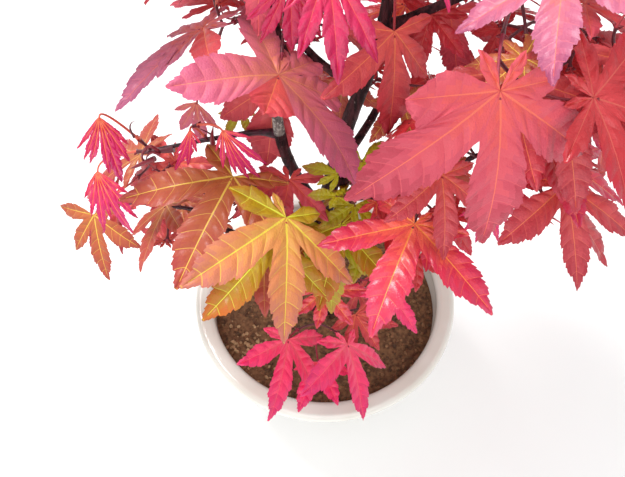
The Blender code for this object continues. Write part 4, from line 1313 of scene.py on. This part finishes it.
share = np.linspace(0.0, 1.0, 40)
roll = LIP_DEPTH / 2
inner_height = FLOOR + (POT_HEIGHT - LIP_DEPTH - FLOOR) * share ** 1.6
inner = np.stack([wall_radius(inner_height, 0.0), inner_height], 1)
outer_height = inner_height[::-1][:-1]
outer = np.stack([wall_radius(outer_height, WALL), outer_height], 1)
lip = np.concatenate([arc((RIM_RADIUS - LIP_WIDTH + roll, POT_HEIGHT - roll), roll, 180, 90, 14),
                      arc((RIM_RADIUS - roll, POT_HEIGHT - roll), roll, 90, -90, 26)])
foot = np.array([(FOOT_RADIUS + 0.6, BARE_FOOT), (FOOT_RADIUS + 0.2, 0.5), (FOOT_RADIUS - 0.5, 0.0),
                 (WELL_RADIUS + 1.0, 0.0), (WELL_RADIUS, WELL_DEPTH * 0.8), (WELL_RADIUS - 1.0, WELL_DEPTH),
                 (0.0, WELL_DEPTH)])
profile = np.concatenate([[(0.0, FLOOR)], inner, lip, outer, foot])
pot_sheaf = Sheaf()
bare = profile[:-1, 1] <= BARE_FOOT
rings = turned(profile[:, 0], profile[:, 1:], POT_SIDES)
pot_sheaf.grid(rings, np.repeat(bare.astype(int), 2 * POT_SIDES), closed=True)
pot = make_piece("pot_glazed", pot_sheaf, [GLAZE, BISQUE], 50.0)
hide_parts("pot")

# %% [markdown]
# ## The soil
# Bonsai soil is sifted: a dark crumbly ground with loose grains on it, a few of them pale and sandy. The
# ground is a round grid with smoothed random heights, and the grains are small lumps strewn by chance.

# %% Earth
def earth_group():
    """Colour between Dark and Light by a noise with fine detail, full roughness and a crumbly height."""
    earth = SkinGroup("earth", {"Dark": (0.03, 0.018, 0.01, 1), "Light": (0.1, 0.06, 0.035, 1),
                                "Roughness": 0.9})
    crumbs = earth.noise(earth.place, 420.0, 6.0)
    colour = earth.mixed(earth.ranged(crumbs, 0.35, 0.70), earth.given["Dark"], earth.given["Light"])
    rough = earth.times_plus(crumbs, 0.1, earth.given["Roughness"])
    return earth.gives(Color=colour, Roughness=rough, Height=crumbs)


EARTH_SKIN = earth_group()


def earth_material(name, dark, light):
    """Crumbly earth between two colours of screen values."""
    values = {"Dark": (*linear(dark), 1), "Light": (*linear(light), 1), "Roughness": 0.85}
    return skinned_material(name, EARTH_SKIN, values, 0.8, 0.0006)


EARTH = [
    earth_material("dark_earth", (84, 56, 36), (136, 98, 66)),
    earth_material("grain_dark", (74, 50, 34), (112, 80, 54)),
    earth_material("grain_brown", (112, 78, 52), (154, 114, 80)),
    earth_material("grain_sandy", (150, 118, 84), (196, 162, 122)),
]

# %% Ground
SOIL_MOUND, SOIL_FLAT = 3.0, 14.0
SOIL_EDGE = float(wall_radius(SOIL_TOP - SOIL_MOUND, 0.0)) - GAP
SKIRT = 12.0  # how far the edge of the ground runs down the wall
GROUND_RINGS, GROUND_SIDES = 80, 180
LUMPS = ((1.1, 12, 18), (0.5, 32, 60))  # their height, and how many lie outwards and around
ROOT_CALM, WALL_CALM = 12.0, 4.0  # the lumps fade over this much next to the trunk and to the wall


def soil_height(radius):
    """Flat to SOIL_FLAT from the middle, then falling by SOIL_MOUND to the edge as in the solid."""
    knots = [0.0, SOIL_FLAT, (SOIL_FLAT + SOIL_EDGE) / 2, SOIL_EDGE]
    drop = np.array([0.0, 0.0, 0.35, 1.0]) * SOIL_MOUND
    return np.interp(radius, knots, SOIL_TOP - drop)


chance = np.random.default_rng([SEED, 90])
outward = np.linspace(0.0, 1.0, GROUND_RINGS) * SOIL_EDGE
lumps = sum(height * value_noise(GROUND_RINGS, GROUND_SIDES, *cells, chance) for height, *cells in LUMPS)
lumps *= np.clip(outward / ROOT_CALM, 0.0, 1.0)[:, None]
lumps *= np.clip((SOIL_EDGE - outward) / WALL_CALM, 0.25, 1.0)[:, None]
lumps[0] = lumps[0].mean()
ground_height = soil_height(outward)[:, None] + lumps - 0.6
ground = turned(outward, ground_height, GROUND_SIDES)
skirt = ground[-1:] - (0.0, 0.0, SKIRT)
skirt[..., :2] *= float(wall_radius(SOIL_TOP - SOIL_MOUND - SKIRT, 0.0) - GAP) / SOIL_EDGE
base = np.broadcast_to(skirt.mean(axis=1, keepdims=True), skirt.shape)
earth = Sheaf()
earth.grid(np.concatenate([ground, skirt, base])[:, ::-1], 0, closed=True)

# %% Loose grains
GRAIN_COUNT = 2200
GRAIN_SIZE, GRAIN_FLATNESS = (0.45, 1.25), 0.75
BROWN_SHARE = 0.35
SANDY_AT, SANDY_REACH = np.array([-42.0, -30.0]), 20.0  # where the pale grains lie, and how far they spread


def icosahedron():
    """Its 12 corners at length 1 and its 20 faces, all of which point outwards."""
    golden = (1 + math.sqrt(5)) / 2
    corners = unit(np.array([np.roll((0, a, b * golden), -shift)
                             for shift in range(3) for a in (-1, 1) for b in (-1, 1)]))
    near = np.linalg.norm(corners[:, None] - corners[None], axis=2) < 1.1
    faces = np.array([(i, j, k) for i, j, k in combinations(range(12), 3)
                      if near[i, j] and near[j, k] and near[i, k]])
    a, b, c = corners[faces].transpose(1, 0, 2)
    inward = (np.cross(b - a, c - a) * a).sum(1) < 0
    faces[inward] = faces[inward][:, ::-1]
    return corners, faces


corners, faces = icosahedron()
distance = SOIL_EDGE * np.sqrt(chance.uniform(0.0, 0.97, GRAIN_COUNT))
bearing = chance.uniform(0, 2 * math.pi, GRAIN_COUNT)
size = chance.uniform(*GRAIN_SIZE, GRAIN_COUNT) ** 1.5
spot = np.stack([distance * np.sin(bearing), distance * np.cos(bearing)], 1)
row = (distance / SOIL_EDGE * (GROUND_RINGS - 1)).round().astype(int)
column = (bearing / (2 * math.pi) * GROUND_SIDES).astype(int) % GROUND_SIDES
centre = np.column_stack([spot, ground_height[row, column] + 0.35 * size])
shape = corners[None] * chance.uniform(0.7, 1.25, (GRAIN_COUNT, 12, 1)) * size[:, None, None]
shape[..., 2] *= GRAIN_FLATNESS
sandiness = np.exp(-(np.linalg.norm(spot - SANDY_AT, axis=1) / SANDY_REACH) ** 2)
sandy = sandiness > chance.uniform(0.15, 1.0, GRAIN_COUNT)
kind = np.where(sandy, 3, 1 + (chance.uniform(size=GRAIN_COUNT) < BROWN_SHARE))
grain_faces = (faces[None] + 12 * np.arange(GRAIN_COUNT)[:, None, None]).reshape(-1, 3)
earth.add(centre[:, None] + shape, grain_faces, np.repeat(kind, len(faces)))
soil = make_piece("soil_surface", earth, EARTH, 40.0)
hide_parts("soil")
